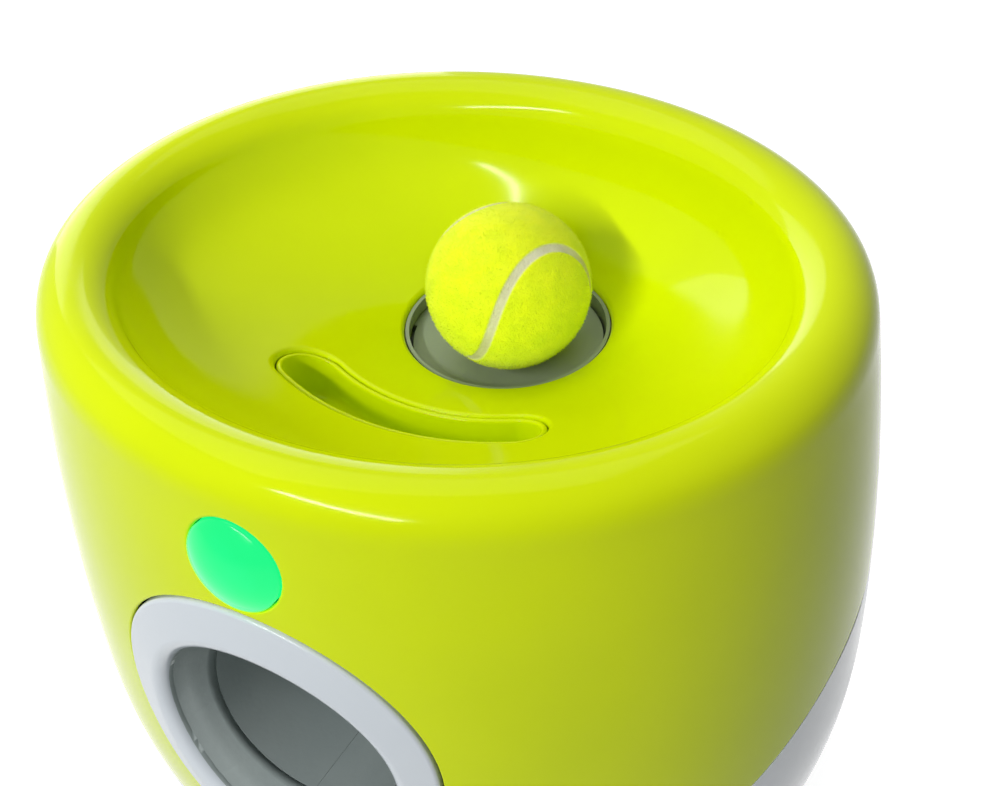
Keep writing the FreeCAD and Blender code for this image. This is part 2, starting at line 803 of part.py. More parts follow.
# --- Feeding the ball -------------------------------------------------------------------------
def throat_tube():
    """Grey tube under the bowl's hole, with the gate's slot and the servo's bracket."""
    lip = hole_level - throat_lip_drop
    shelf = flange_bottom + lug_thickness
    outer = throat_radius + throat_wall
    solid = [rod(outer, hole_axis + Z_AXIS * throat_bottom, hole_axis + Z_AXIS * shelf),
             rod(hole_radius - seat_gap, hole_axis + Z_AXIS * shelf, hole_axis + Z_AXIS * lip),
             rod(outer + throat_flange, hole_axis + Z_AXIS * flange_bottom, hole_axis + Z_AXIS * shelf)]
    for place in lug_places():
        solid.append(rod(lug_radius, place + Z_AXIS * flange_bottom, place + Z_AXIS * shelf))
    reach = servo_length / 2 + bracket_end
    half = servo_width / 2 + bracket_margin
    solid.append(box(gate_pivot_x - reach, -throat_radius, hole_y - half, hole_y + half,
                     servo_top, servo_top + bracket_thickness))
    inner_ear = lever_width / 2 + ear_gap
    for side in (-1, 1):
        near, far = sorted((side * inner_ear, side * (inner_ear + ear_wall)))
        solid.append(box(near, far, hole_y + throat_radius + ear_front, lever_pivot_y + switch_depth,
                         lever_pivot_z - ear_drop, lever_pivot_z + ear_rise))
    slot_low = gate_top - gate_thickness - gate_clearance
    arm_side = hole_y + gate_arm_width / 2 + gate_swing_room
    pivot = V(0, lever_pivot_y, lever_pivot_z)
    pin_reach = X_AXIS * (inner_ear + ear_wall + 1)
    slot_x = lever_width / 2 + lever_slot_gap
    cuts = [rod(throat_radius, hole_axis, hole_axis + Z_AXIS * height),
            launch_rod(barrel_outer + seat_gap, -barrel_rear, muzzle_end),
            box(-outer - 10, outer + 10, -outer, hole_y + 1.0, slot_low, flange_bottom),
            box(-outer - 10, 0, -outer, arm_side, slot_low, flange_bottom),
            rod(servo_shaft_radius + servo_shaft_room, V(gate_pivot_x, hole_y, servo_top - 1),
                V(gate_pivot_x, hole_y, gate_top)),
            box(-slot_x, slot_x, hole_y, hole_y + outer + 1, lever_pivot_z - ear_drop + ear_front,
                lever_pivot_z + lever_arm_half),
            rod(lever_pin_radius + fixed_clearance, pivot - pin_reach, pivot + pin_reach)]
    for place in lug_places():
        cuts.append(screw_hole(place + Z_AXIS * flange_bottom, Z_AXIS, throat_screw_length))
    for place in servo_screw_places():
        seat = place + Z_AXIS * (servo_top + bracket_thickness)
        cuts.append(screw_hole(seat, -Z_AXIS, servo_screw_length))
    return without(fused(solid), cuts)


def servo_screw_places():
    reach = servo_length / 2 - screw_head_radius
    return [V(gate_pivot_x + side * reach, hole_y, 0) for side in (-1, 1)]


def feed_gate():
    """Flat round shutter that holds the ball, on an arm with its own drive shaft."""
    pivot = V(gate_pivot_x, hole_y, 0)
    low = gate_top - gate_thickness
    half_arm = gate_arm_width / 2
    pieces = [rod(throat_radius - gate_edge_gap, hole_axis + Z_AXIS * low, hole_axis + Z_AXIS * gate_top),
              box(gate_pivot_x, 0, hole_y - half_arm, hole_y + half_arm, low, gate_top),
              rod(half_arm, pivot + Z_AXIS * low, pivot + Z_AXIS * gate_top),
              rod(gate_hub_radius, pivot + Z_AXIS * hub_bottom, pivot + Z_AXIS * gate_top),
              rod(servo_shaft_radius, pivot + Z_AXIS * (hub_bottom - servo_shaft_length),
                  pivot + Z_AXIS * hub_bottom)]
    return fused(pieces)


def gate_servo():
    half_x = servo_length / 2
    half_y = servo_width / 2
    body = box(gate_pivot_x - half_x, gate_pivot_x + half_x, hole_y - half_y, hole_y + half_y,
               servo_top - servo_height, servo_top)
    pivot = V(gate_pivot_x, hole_y, 0)
    depth = hub_bottom - servo_shaft_length - seat_gap
    cuts = [rod(servo_shaft_radius + running_clearance, pivot + Z_AXIS * depth, pivot + Z_AXIS * gate_top)]
    for place in servo_screw_places():
        seat = place + Z_AXIS * (servo_top + bracket_thickness)
        cuts.append(screw_hole(seat, -Z_AXIS, servo_screw_length))
    return without(body, cuts)


def ball_lever():
    """Feeler that the falling ball pushes out of the throat."""
    half = X_AXIS * (lever_width / 2)
    pivot = V(0, lever_pivot_y, lever_pivot_z)
    tip = V(0, lever_tip_y, lever_tip_z)
    way = (tip - pivot).normalize()
    side = X_AXIS.cross(way)
    root = side * lever_arm_half
    end = side * lever_tip_radius
    arm = [pivot + root, tip + end, tip - end, pivot - root]
    pieces = [rod(lever_boss_radius, pivot - half, pivot + half),
              rod(lever_tip_radius, tip - half, tip + half),
              prism([point - half for point in arm], half * 2)]
    bore = rod(lever_pin_radius + running_clearance, pivot - half * 2, pivot + half * 2)
    return fused(pieces).cut(bore)


def lever_pin():
    reach = X_AXIS * (lever_width / 2 + ear_gap + ear_wall)
    pivot = V(0, lever_pivot_y, lever_pivot_z)
    return rod(lever_pin_radius, pivot - reach, pivot + reach)


def ball_switch():
    """Microswitch between the ears, behind the feeler."""
    half = lever_width / 2 + ear_gap - switch_side_gap
    top = lever_pivot_z - lever_boss_radius - switch_drop
    return box(-half, half, lever_pivot_y, lever_pivot_y + switch_depth, top - switch_height, top)


# --- Barrel and plunger -----------------------------------------------------------------------
def barrel_tab_places():
    return [(along, side) for along in barrel_tabs for side in (-1, 1)]


def barrel_radius(along):
    share = max(0.0, (along - taper_start) / (muzzle_end - taper_start))
    return barrel_outer + (muzzle_radius - bore_radius) * share


def barrel():
    """Both halves of the barrel, still in one piece."""
    end = muzzle_end - seat_gap
    widest = muzzle_radius + barrel_wall
    outside = [(-barrel_rear, 0), (-barrel_rear, barrel_outer), (taper_start, barrel_outer),
               (end, widest), (end, 0)]
    groove = bore_radius + cap_rim + cap_play
    lip = bore_radius - barrel_lip
    back = -cap_back - cap_play
    face = -cap_face + cap_play
    bore = [(-barrel_rear - 1, 0), (-barrel_rear - 1, lip), (back, lip), (back, groove), (face, groove),
            (face, bore_radius), (taper_start, bore_radius), (muzzle_end, muzzle_radius),
            (muzzle_end + 1, muzzle_radius), (muzzle_end + 1, 0)]
    solid = [launch_turned(outline(outside))]
    for along, side in barrel_tab_places():
        base = barrel_radius(along)
        lift = sorted((side * (base - barrel_wall / 2), side * (base + barrel_tab_rise)))
        solid.append(launch_block((along - barrel_tab_half_length, along + barrel_tab_half_length), lift,
                                  (-barrel_tab_half_width, barrel_tab_half_width)))
    slot = web_width / 2 + slot_side_gap
    cuts = [launch_turned(outline(bore)),
            rod(throat_radius, hole_axis + Z_AXIS * breech_level, hole_axis + Z_AXIS * height),
            launch_block((-barrel_rear - 1, -plunger_face + rack_end), (-barrel_outer - 1, 0), (-slot, slot))]
    for seat in barrel_screw_seats():
        cuts.append(screw_hole(seat, -X_AXIS, barrel_screw_length))
    return without(fused(solid), cuts)


def barrel_screw_seats():
    return [on_launch(along, side * (barrel_radius(along) + barrel_screw_rise), barrel_tab_half_width)
            for along, side in barrel_tab_places()]


def barrel_half(side):
    reach = bezel_radius * 2
    sides = sorted((side * seam_gap / 2, side * reach))
    return barrel_body.common(launch_block((-reach, reach * 2), (-reach, reach), sides))


def breech_cap():
    """Disc held between the barrel halves, with a spigot that centres the spring."""
    disc = launch_rod(bore_radius + cap_rim, -cap_back, -cap_face)
    spigot = spring_radius - spring_wire - spigot_gap
    return fused([disc, launch_rod(spigot, -cap_face, -cap_face + spigot_length)])


def rack_tooth(along):
    thick = rack_pitch / 4 - mesh_play / 2
    slope = math.tan(math.radians(pressure_angle))
    root = thick + root_depth * rack_module * slope
    tip = thick - tooth_height * rack_module * slope
    low = -rack_pitch_line - tooth_height * rack_module
    half = web_width / 2
    corners = [(-root, -rack_root + 0.01), (root, -rack_root + 0.01), (tip, low), (-tip, low)]
    return prism([on_launch(along + a, b, -half) for a, b in corners], X_AXIS * web_width)


def plunger():
    """Hollow plunger with a web through the barrel's slot down to its rack."""
    radius = bore_radius - plunger_clearance
    inner = radius - plunger_wall
    cup = [(-plunger_face, 0), (-plunger_face, radius), (-plunger_back, radius), (-plunger_back, inner),
           (-plunger_face - plunger_wall, inner), (-plunger_face - plunger_wall, 0)]
    width = (-web_width / 2, web_width / 2)
    first = -rack_mesh - rack_pitch
    front = first + rack_pitch * (rack_teeth - 0.5)
    pieces = [launch_turned(outline(cup)),
              launch_block((-plunger_back, -plunger_face), (-rack_back - 1, -radius + web_sunk), width),
              launch_block((-rack_rear, front), (-rack_root, -rack_back), width)]
    pieces += [rack_tooth(first + step * rack_pitch) for step in range(rack_teeth)]
    return fused(pieces)


def plunger_pad():
    return launch_rod(pad_radius, -plunger_face, -pad_face)


def plunger_spring():
    """Compression spring wound in half turns, each part of a ring on its own slope."""
    start = -cap_face + spring_wire / 2 + spring_end_gap
    end = -plunger_face - plunger_wall - spring_wire / 2 - spring_end_gap
    rise = (end - start) / spring_turns / 2
    turns = []
    for index in range(2 * spring_turns):
        side = -1 if index % 2 else 1
        near = on_launch(start + rise * index, 0, side * spring_radius)
        far = on_launch(start + rise * (index + 1), 0, -side * spring_radius)
        section = Part.Face(Part.Wire(Part.Circle(near, LIFT, spring_wire / 2).toShape()))
        axis = (near - far).cross(LIFT * side)
        turns.append(section.revolve((near + far) / 2, axis, 180))
    return fused(turns)


# --- Gears ------------------------------------------------------------------------------------
def tooth_flank(module, teeth):
    """Radius and angle of points up one side of a tooth, counted from its middle."""
    pressure = math.radians(pressure_angle)
    pitch_radius = module * teeth / 2
    base_radius = pitch_radius * math.cos(pressure)
    tip = pitch_radius + tooth_height * module
    root = pitch_radius - root_depth * module
    half = (math.pi * module / 2 - mesh_play) / 2 / pitch_radius
    start = max(base_radius, root)
    rows = []
    for step in range(flank_steps + 1):
        radius = start + (tip - start) * step / flank_steps
        angle = math.acos(min(1.0, base_radius / radius))
        swing = half + math.tan(pressure) - pressure - math.tan(angle) + angle
        rows.append((radius, swing))
    return root, rows


def gear(centre, module, teeth, first_angle, start, width, cut_teeth=None):
    """Spur gear across the launcher; first_angle is the middle of its first tooth."""
    root, flank = tooth_flank(module, teeth)
    points = []
    for index in range(teeth):
        middle = math.radians(first_angle) + 2 * math.pi * index / teeth
        if cut_teeth and index >= cut_teeth:
            points += [(root, middle - math.pi / 2 / teeth), (root, middle + math.pi / 2 / teeth)]
            continue
        rising = [(root, -flank[0][1])] + [(r, -a) for r, a in flank]
        points += [(r, middle + a) for r, a in rising]
        points += [(r, middle - a) for r, a in reversed(rising)]
    corner = centre + X_AXIS * start
    return prism([corner + V(0, r * math.cos(a), r * math.sin(a)) for r, a in points], X_AXIS * width)


def gear_hub(centre):
    reach = X_AXIS * (plate_inner_half - seat_gap)
    return rod(gear_shaft_radius + gear_hub_wall, centre - reach, centre + reach)


def gear_bore(centre):
    reach = X_AXIS * (plate_inner_half + 1)
    return rod(gear_shaft_radius + running_clearance, centre - reach, centre + reach)


def cocking_gear():
    """Large wheel and part-toothed sector on one hub; the sector draws the plunger back."""
    half = sector_width / 2
    start = -half - gear_side_gap - wheel_width
    sector_step = 360.0 / sector_pitch_teeth
    wheel = gear(cocking_centre, wheel_module, wheel_teeth, idler_angle, start, wheel_width)
    sector = gear(cocking_centre, rack_module, sector_pitch_teeth, rack_direction - sector_step / 2,
                  -half, sector_width, sector_teeth)
    return fused([wheel, gear_hub(cocking_centre), sector]).cut(gear_bore(cocking_centre))


def idler_gear():
    start = -sector_width / 2 - gear_side_gap - wheel_width
    facing = idler_angle + 180.0 + 180.0 / small_idler_teeth
    small = gear(idler_centre, wheel_module, small_idler_teeth, facing, start, wheel_width)
    large = gear(idler_centre, motor_module, large_idler_teeth, pinion_angle, large_idler_start,
                 large_idler_width)
    return fused([small, gear_hub(idler_centre), large]).cut(gear_bore(idler_centre))


def motor_pinion():
    facing = pinion_angle + 180.0 + 180.0 / pinion_teeth
    pinion = gear(motor_centre, motor_module, pinion_teeth, facing, large_idler_start, large_idler_width)
    shaft = rod(motor_shaft_radius, motor_centre + X_AXIS * (large_idler_start - screw_end_gap),
                motor_centre + X_AXIS * (plate_outer_half + motor_shaft_length))
    return fused([pinion, shaft])


def drive_motor():
    face = motor_centre + X_AXIS * plate_outer_half
    back = face + X_AXIS * motor_length
    pieces = [rod(motor_radius, face, back),
              rod(motor_bush_radius, motor_centre + X_AXIS * plate_inner_half, face),
              rod(motor_cap_radius, back, back + X_AXIS * motor_cap_length)]
    for rise in (-terminal_reach, terminal_reach):
        low = back.z + rise - terminal_thickness / 2
        pieces.append(box(back.x - terminal_thickness, back.x + terminal_length,
                          back.y - terminal_half_width, back.y + terminal_half_width,
                          low, low + terminal_thickness))
    bore = face + X_AXIS * (motor_shaft_length + seat_gap)
    cuts = [rod(motor_shaft_radius + running_clearance, motor_centre, bore)]
    for place in motor_screw_places():
        cuts.append(screw_hole(place, X_AXIS, motor_screw_length))
    return without(fused(pieces), cuts)


def motor_screw_places():
    return [motor_centre + V(plate_inner_half, side * motor_screw_reach, 0) for side in (-1, 1)]


def gear_shafts():
    reach = X_AXIS * plate_outer_half
    return Part.makeCompound([rod(gear_shaft_radius, centre - reach, centre + reach)
                              for centre in (cocking_centre, idler_centre)])


# --- Gearbox frame ----------------------------------------------------------------------------
def spacer_centres():
    return [idler_centre + V(0, *front_spacer), idler_centre + V(0, *upper_spacer),
            cocking_centre + V(0, *rear_spacer)]


def frame_plate(side):
    """Upright plate that carries the gear shafts and the barrel's saddle."""
    rear = cocking_centre.y + wheel_radius + plate_margin
    low_round, high_round = plate_nose_round
    nose = motor_centre.y - motor_radius - low_round
    nose_low = motor_centre.z - motor_radius
    top = breech_level - plate_top_drop
    step = rear - plate_rear_step
    profile = [(plate_front, inside_floor), (step, inside_floor),
               (rear, cocking_centre.z - plate_rear_low), (rear, cocking_centre.z - plate_rear_high),
               (rear - plate_shoulder[0], cocking_centre.z + plate_shoulder[1]), (step, top),
               (idler_centre.y + plate_crest, top), (nose, motor_centre.z + motor_radius + high_round),
               (nose, nose_low + low_round), (plate_front, nose_low - low_round)]
    inner, outer = sorted((side * plate_inner_half, side * plate_outer_half))
    solid = [prism([V(inner, y, z) for y, z in profile], X_AXIS * (outer - inner))]
    for y in tab_places:
        near, far = sorted((side * plate_inner_half, side * (plate_outer_half + tab_reach)))
        solid.append(box(near, far, y - tab_length / 2, y + tab_length / 2,
                         tab_level, tab_level + plate_thickness))
    cuts = [launch_rod(barrel_outer + fixed_clearance, -barrel_rear - saddle_rear_room, taper_start)]
    for centre in (cocking_centre, idler_centre):
        reach = X_AXIS * (plate_outer_half + 1)
        cuts.append(rod(gear_shaft_radius + fixed_clearance, centre - reach, centre + reach))
    for centre in spacer_centres():
        seat = centre + X_AXIS * (side * plate_outer_half)
        cuts.append(screw_hole(seat, X_AXIS * -side, spacer_screw_length))
    for y in tab_places:
        seat = V(side * (plate_outer_half + tab_reach / 2), y, tab_level + plate_thickness)
        cuts.append(screw_hole(seat, -Z_AXIS, frame_screw_length))
    if side > 0:
        through = motor_centre + X_AXIS * (plate_outer_half + 1)
        cuts.append(rod(motor_bush_radius + fixed_clearance, motor_centre, through))
        for place in motor_screw_places():
            cuts.append(screw_hole(place, X_AXIS, motor_screw_length))
    return without(fused(solid), cuts)


def frame_spacers():
    bars = []
    for centre in spacer_centres():
        reach = X_AXIS * plate_inner_half
        bar = rod(spacer_radius, centre - reach, centre + reach)
        ends = [screw_hole(centre + X_AXIS * (side * plate_outer_half), X_AXIS * -side, spacer_screw_length)
                for side in (-1, 1)]
        bars.append(bar.cut(ends))
    return Part.makeCompound(bars)


# --- Batteries --------------------------------------------------------------------------------
def cell_places():
    first = -cell_pitch * (cell_count - 1) / 2
    return [(first + index * cell_pitch, 1 if index % 2 else -1) for index in range(cell_count)]


def battery_tray():
    """Roof and walls round the cells; the door closes it from below."""
    half_x = tray_half_x + tray_wall
    half_y = tray_half_y + tray_wall
    outside = box(-half_x, half_x, tray_middle_y - half_y, tray_middle_y + half_y, inside_floor,
                  tray_top + tray_wall)
    outside = outside.common(envelope(casing_wall + seat_gap / 2))
    inside = box(-tray_half_x, tray_half_x, tray_middle_y - tray_half_y, tray_middle_y + tray_half_y,
                 inside_floor - 1, tray_top)
    return outside.cut(inside)


def battery_cells():
    cells = []
    for x, way in cell_places():
        nub = V(x, tray_middle_y + way * (tray_half_y - contact_thickness), cell_level)
        shoulder = nub - Y_AXIS * (way * cell_nub_length)
        back = nub - Y_AXIS * (way * cell_length)
        cells.append(fused([rod(cell_radius, shoulder, back), rod(cell_nub_radius, shoulder, nub)]))
    return Part.makeCompound(cells)


def battery_contacts():
    """Flat plates at the cells' noses, plates with a cone spring at their tails."""
    contacts = []
    half = contact_size / 2
    for x, way in cell_places():
        wall = tray_middle_y + way * tray_half_y
        near, far = sorted((wall, wall - way * contact_thickness))
        contacts.append(box(x - half, x + half, near, far, cell_level - half, cell_level + half))
        wall = tray_middle_y - way * tray_half_y
        near, far = sorted((wall, wall + way * contact_thickness))
        plate = box(x - half, x + half, near, far, cell_level - half, cell_level + half)
        seat = V(x, wall + way * contact_thickness, cell_level)
        length = tray_end_room - 2 * contact_thickness
        wide = half - contact_spring_wall
        cone = Part.makeCone(wide, half / 2, length, seat, Y_AXIS * way)
        hollow = Part.makeCone(wide - contact_spring_wall, half / 2 - contact_spring_wall, length, seat,
                               Y_AXIS * way)
        contacts.append(fused([plate, cone.cut(hollow)]))
    return Part.makeCompound(contacts)


def battery_door():
    """Stepped door that presses into the floor from below."""
    upper_x = tray_half_x - 2 * edge_gap
    upper_y = tray_half_y - 2 * edge_gap
    lower_x = upper_x + door_step
    lower_y = upper_y + door_step
    plate = box(-lower_x, lower_x, tray_middle_y - lower_y, tray_middle_y + lower_y, foot_height,
                door_step_level - seat_gap)
    pad = box(-upper_x, upper_x, tray_middle_y - upper_y, tray_middle_y + upper_y,
              door_step_level - seat_gap, inside_floor + door_pad_rise)
    return fused([plate, pad])


# --- Feet, boards and rear controls -----------------------------------------------------------
def rubber_feet():
    return Part.makeCompound([rod(foot_radius, V(x, y, 0), V(x, y, foot_height + foot_recess))
                              for x in (-foot_x, foot_x) for y in (-foot_y, foot_y)])


def main_board():
    low = inside_floor + pcb_standoff
    board = box(pcb_x - pcb_width / 2, pcb_x + pcb_width / 2,
                pcb_y - pcb_length / 2, pcb_y + pcb_length / 2, low, low + board_thickness)
    return without(board, [screw_hole(corner + Z_AXIS * pcb_top, -Z_AXIS, board_screw_length)
                           for corner in pcb_corners()])


def board_parts():
    """Processor, capacitors, driver and plug sockets that stand on the main board."""
    pieces = []
    for x, y, wide, deep, tall in pcb_blocks:
        x += pcb_x
        y += pcb_y
        pieces.append(box(x - wide / 2, x + wide / 2, y - deep / 2, y + deep / 2, pcb_top, pcb_top + tall))
    for x, y in capacitor_places:
        foot = V(pcb_x + x, pcb_y + y, pcb_top)
        pieces.append(rod(capacitor_radius, foot, foot + Z_AXIS * capacitor_height))
    return Part.makeCompound(pieces)


def speaker():
    middle = V(speaker_x, speaker_y, inside_floor)
    face = middle + Z_AXIS * speaker_rim
    half = speaker_radius / 2
    return fused([rod(speaker_radius, middle, face),
                  Part.makeCone(speaker_radius - speaker_rim, half, speaker_height / 2, face),
                  rod(half, face, middle + Z_AXIS * speaker_height)])


def control_panel():
    panel = box(-panel_half_width, panel_half_width, panel_plane, panel_plane + panel_thickness,
                panel_level - panel_half_height, panel_level + panel_half_height)
    return without(panel, panel_cuts())


def control_board():
    """Board behind the panel, with the two push switches."""
    half_z = panel_half_height - control_board_margin
    half_x = panel_half_width - 2 * control_board_margin
    back = control_board_y + board_thickness
    stem = back + switch_body
    pieces = [box(-half_x, half_x, control_board_y, back, panel_level - half_z, panel_level + half_z)]
    for x in (power_button_x, range_button_x):
        pieces.append(box(x - switch_half, x + switch_half, back, stem,
                          panel_level - switch_half, panel_level + switch_half))
        pieces.append(rod(switch_stem_radius, V(x, stem, panel_level), V(x, switch_face, panel_level)))
    holes = [screw_hole(V(post.x, control_board_y, post.z), Y_AXIS, control_screw_length)
             for post in control_posts()]
    return without(fused(pieces), holes)


def push_button(x):
    """Button cap with a flange that keeps it behind the wall."""
    back = panel_back - seat_gap - button_flange
    front = panel_plane + panel_thickness + button_proud
    cap = rod(button_radius, V(x, back, panel_level), V(x, front, panel_level))
    cap = cap.makeFillet(button_round, [edge for edge in cap.Edges if edge.CenterOfMass.y > front - 0.1])
    wide = button_radius + edge_gap + button_flange_reach
    flange = rod(wide, V(x, back, panel_level), V(x, back + button_flange, panel_level))
    return fused([cap, flange])


def indicator_lenses():
    level = panel_level + indicator_rise
    start = control_board_y + board_thickness + seat_gap
    face = panel_plane + panel_thickness
    return Part.makeCompound([rod(indicator_radius, V(x, start, level), V(x, face, level))
                              for x in indicator_places()])


def power_inlet():
    """Round low-voltage socket with its centre pin."""
    back = control_board_y + board_thickness
    face = panel_plane + panel_thickness
    half = jack_body_half
    body = box(jack_x - half, jack_x + half, back, panel_back - seat_gap,
               panel_level - half, panel_level + half)

    def on_jack(y):
        return V(jack_x, y, panel_level)

    snout = rod(jack_radius, on_jack(back + 1), on_jack(face))
    hole = rod(jack_hole_radius, on_jack(face - jack_depth), on_jack(face + 1))
    pin = rod(jack_pin_radius, on_jack(face - jack_depth - screw_end_gap), on_jack(face - 1))
    return fused([fused([body, snout]).cut(hole), pin])


# --- Screws -----------------------------------------------------------------------------------
def cover_screws():
    return [screw(V(x, y, tower_screw_seat), Z_AXIS, cover_screw_length) for x, y in tower_places]


def barrel_screws():
    return [screw(seat, -X_AXIS, barrel_screw_length) for seat in barrel_screw_seats()]


def frame_screws():
    places = [centre + Z_AXIS * (tab_level + plate_thickness) for centre in plate_tab_centres()]
    screws = [screw(place, -Z_AXIS, frame_screw_length) for place in places]
    for centre in spacer_centres():
        for side in (-1, 1):
            seat = centre + X_AXIS * (side * plate_outer_half)
            screws.append(screw(seat, X_AXIS * -side, spacer_screw_length))
    return screws


def motor_screws():
    return [screw(place, X_AXIS, motor_screw_length) for place in motor_screw_places()]


def board_screws():
    screws = [screw(corner + Z_AXIS * pcb_top, -Z_AXIS, board_screw_length) for corner in pcb_corners()]
    return screws + [screw(V(post.x, control_board_y, post.z), Y_AXIS, control_screw_length)
                     for post in control_posts()]


def throat_screws():
    screws = [screw(place + Z_AXIS * flange_bottom, Z_AXIS, throat_screw_length) for place in lug_places()]
    seats = [place + Z_AXIS * (servo_top + bracket_thickness) for place in servo_screw_places()]
    return screws + [screw(seat, -Z_AXIS, servo_screw_length) for seat in seats]


def tennis_ball():
    return Part.makeSphere(ball_radius, V(ball_x, ball_y, ball_level))


# --- Every piece, one file each ---------------------------------------------------------------
barrel_body = barrel()
PIECES = {
    "top_cover": top_cover,
    "base_shell": base_shell,
    "outlet_bezel": outlet_bezel,
    "handle_pocket": handle_pocket,
    "ready_lens": ready_lens,
    "lens_board": lens_board,
    "throat_tube": throat_tube,
    "feed_gate": feed_gate,
    "gate_servo": gate_servo,
    "ball_lever": ball_lever,
    "lever_pin": lever_pin,
    "ball_switch": ball_switch,
    "barrel_left": lambda: barrel_half(1),
    "barrel_right": lambda: barrel_half(-1),
    "breech_cap": breech_cap,
    "plunger": plunger,
    "plunger_pad": plunger_pad,
    "plunger_spring": plunger_spring,
    "cocking_gear": cocking_gear,
    "idler_gear": idler_gear,
    "motor_pinion": motor_pinion,
    "drive_motor": drive_motor,
    "gear_shafts": gear_shafts,
    "frame_left": lambda: frame_plate(1),
    "frame_right": lambda: frame_plate(-1),
    "frame_spacers": frame_spacers,
    "battery_tray": battery_tray,
    "battery_cells": battery_cells,
    "battery_contacts": battery_contacts,
    "battery_door": battery_door,
    "rubber_feet": rubber_feet,
    "main_board": main_board,
    "board_parts": board_parts,
    "speaker": speaker,
    "control_panel": control_panel,
    "control_board": control_board,
    "power_button": lambda: push_button(power_button_x),
    "range_button": lambda: push_button(range_button_x),
    "indicator_lenses": indicator_lenses,
    "power_inlet": power_inlet,
    "cover_screws": lambda: Part.makeCompound(cover_screws()),
    "barrel_screws": lambda: Part.makeCompound(barrel_screws()),
    "frame_screws": lambda: Part.makeCompound(frame_screws()),
    "motor_screws": lambda: Part.makeCompound(motor_screws()),
    "board_screws": lambda: Part.makeCompound(board_screws()),
    "throat_screws": lambda: Part.makeCompound(throat_screws()),
    "tennis_ball": tennis_ball,
}

os.makedirs("parts", exist_ok=True)
for name, make in PIECES.items():
    make().exportStep("parts/" + name + ".step")
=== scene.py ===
import json
import math

import bmesh
import bpy
import numpy as np
from mathutils import Matrix, Vector, kdtree


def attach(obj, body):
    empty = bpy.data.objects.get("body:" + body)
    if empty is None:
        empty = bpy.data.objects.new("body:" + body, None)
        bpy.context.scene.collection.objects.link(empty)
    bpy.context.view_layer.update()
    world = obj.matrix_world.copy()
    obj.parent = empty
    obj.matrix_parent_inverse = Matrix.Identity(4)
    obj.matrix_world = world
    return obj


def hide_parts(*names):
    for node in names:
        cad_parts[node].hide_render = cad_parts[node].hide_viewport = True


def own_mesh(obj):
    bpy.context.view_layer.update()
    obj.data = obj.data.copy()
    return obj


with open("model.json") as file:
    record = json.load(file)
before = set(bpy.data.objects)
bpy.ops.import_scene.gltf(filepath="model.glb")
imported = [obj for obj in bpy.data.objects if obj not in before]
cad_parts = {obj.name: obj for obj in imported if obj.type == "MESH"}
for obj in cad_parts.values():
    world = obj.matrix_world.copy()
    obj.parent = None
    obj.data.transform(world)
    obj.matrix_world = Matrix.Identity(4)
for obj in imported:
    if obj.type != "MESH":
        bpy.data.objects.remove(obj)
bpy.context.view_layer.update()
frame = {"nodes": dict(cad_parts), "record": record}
bpy.context.scene.view_settings.view_transform = "Standard"

# Automatic dog ball launcher. Sizes are in millimetres and become metres when a mesh is made.
MM = 0.001
FULL = 2 * math.pi

# --- Casing -----------------------------------------------------------------------------------
height = 230.0
half_width = 128.5
widest_level = 107.0
oval_ratio = 0.895
upper_side_radius = 729.0
lower_side_radius = 190.0
bottom_round = 4.0
foot_height = 3.5
rim_radius = 11.6
rim_end_angle = 170.0
casing_wall = 2.5
hole_radius = 33.0
hole_y = 33.0
hole_level = 178.0
hole_lip = 1.4
crease_depth = 11.5
bowl_power = 1.2
crease_power = 10.0
parting_middle_level = 102.0
parting_swing = 36.0
parting_middle_y = -59.0
parting_half_span = 85.0
parting_gap = 0.4
parting_lip = 0.6

# Ovals that the casing's surface runs through, from the bottom corner up and in to the hole.
bottom_rows, lower_rows, upper_rows, rim_rows, bowl_rows = 4, 10, 9, 8, 9
row_spread = 1.5
BOWL_START = bottom_rows + lower_rows + upper_rows + rim_rows - 1
LAST_STEP = BOWL_START + bowl_rows

# Nets that the casing's sheets are cut from: where they start and end, points round, and rows
# from each oval to the next.
net_start_step = 5
ring_end_step = 23
cover_points, cover_rows = 385, 4
ring_points, ring_rows = 97, 5

# --- Finger slot ------------------------------------------------------------------------------
slot_bend_radius = 76.0
slot_middle_y = -35.0
slot_half_length = 33.0
slot_half_width = 10.0
slot_lip = 1.6
pocket_wall = 1.8
pocket_floor_level = 174.0
pocket_drop = 1.0
seat_gap = 0.3

# --- Outlet and ready light -------------------------------------------------------------------
launch_tilt = math.radians(8.0)
breech_level = 111.5
muzzle_end = 128.6
muzzle_radius = 31.6
bezel_radius = 50.0
bezel_lift = 5.0
bezel_proud = 0.7
bezel_depth = 9.0
bezel_gap = 0.3
bezel_lip = 1.2
bezel_back_y = -40.0
bezel_half_turn = 0.56
bezel_seat_lip = 0.8
mouth_radius = 37.0
mouth_start = 142.3
mouth_lip = 5.0
horn_wall = 2.5
horn_taper = 8.0
lens_radius = 13.3
lens_level = 202.8
lens_dome = 4.5
lens_depth = 4.3
lens_seat_lip = 1.0

# --- Plunger spring ---------------------------------------------------------------------------
spring_radius = 17.0
spring_wire = 1.6
spring_turns = 6
spring_start = -64.75
spring_end = -33.35

# The barrel's axis starts at BREECH and runs along LAUNCH; LIFT is upright to it.
LAUNCH = np.array([0, -math.cos(launch_tilt), math.sin(launch_tilt)])
LIFT = np.array([0, math.sin(launch_tilt), math.cos(launch_tilt)])
BREECH = np.array([0, hole_y, breech_level])
UP = np.array([0, 0, 1.0])

# --- Casing surface ---------------------------------------------------------------------------
def side_half_width(level):
    """Half the casing's width, by one arc over the widest level and another under it."""
    radius = upper_side_radius if level > widest_level else lower_side_radius
    return half_width - radius + math.sqrt(radius ** 2 - (level - widest_level) ** 2)


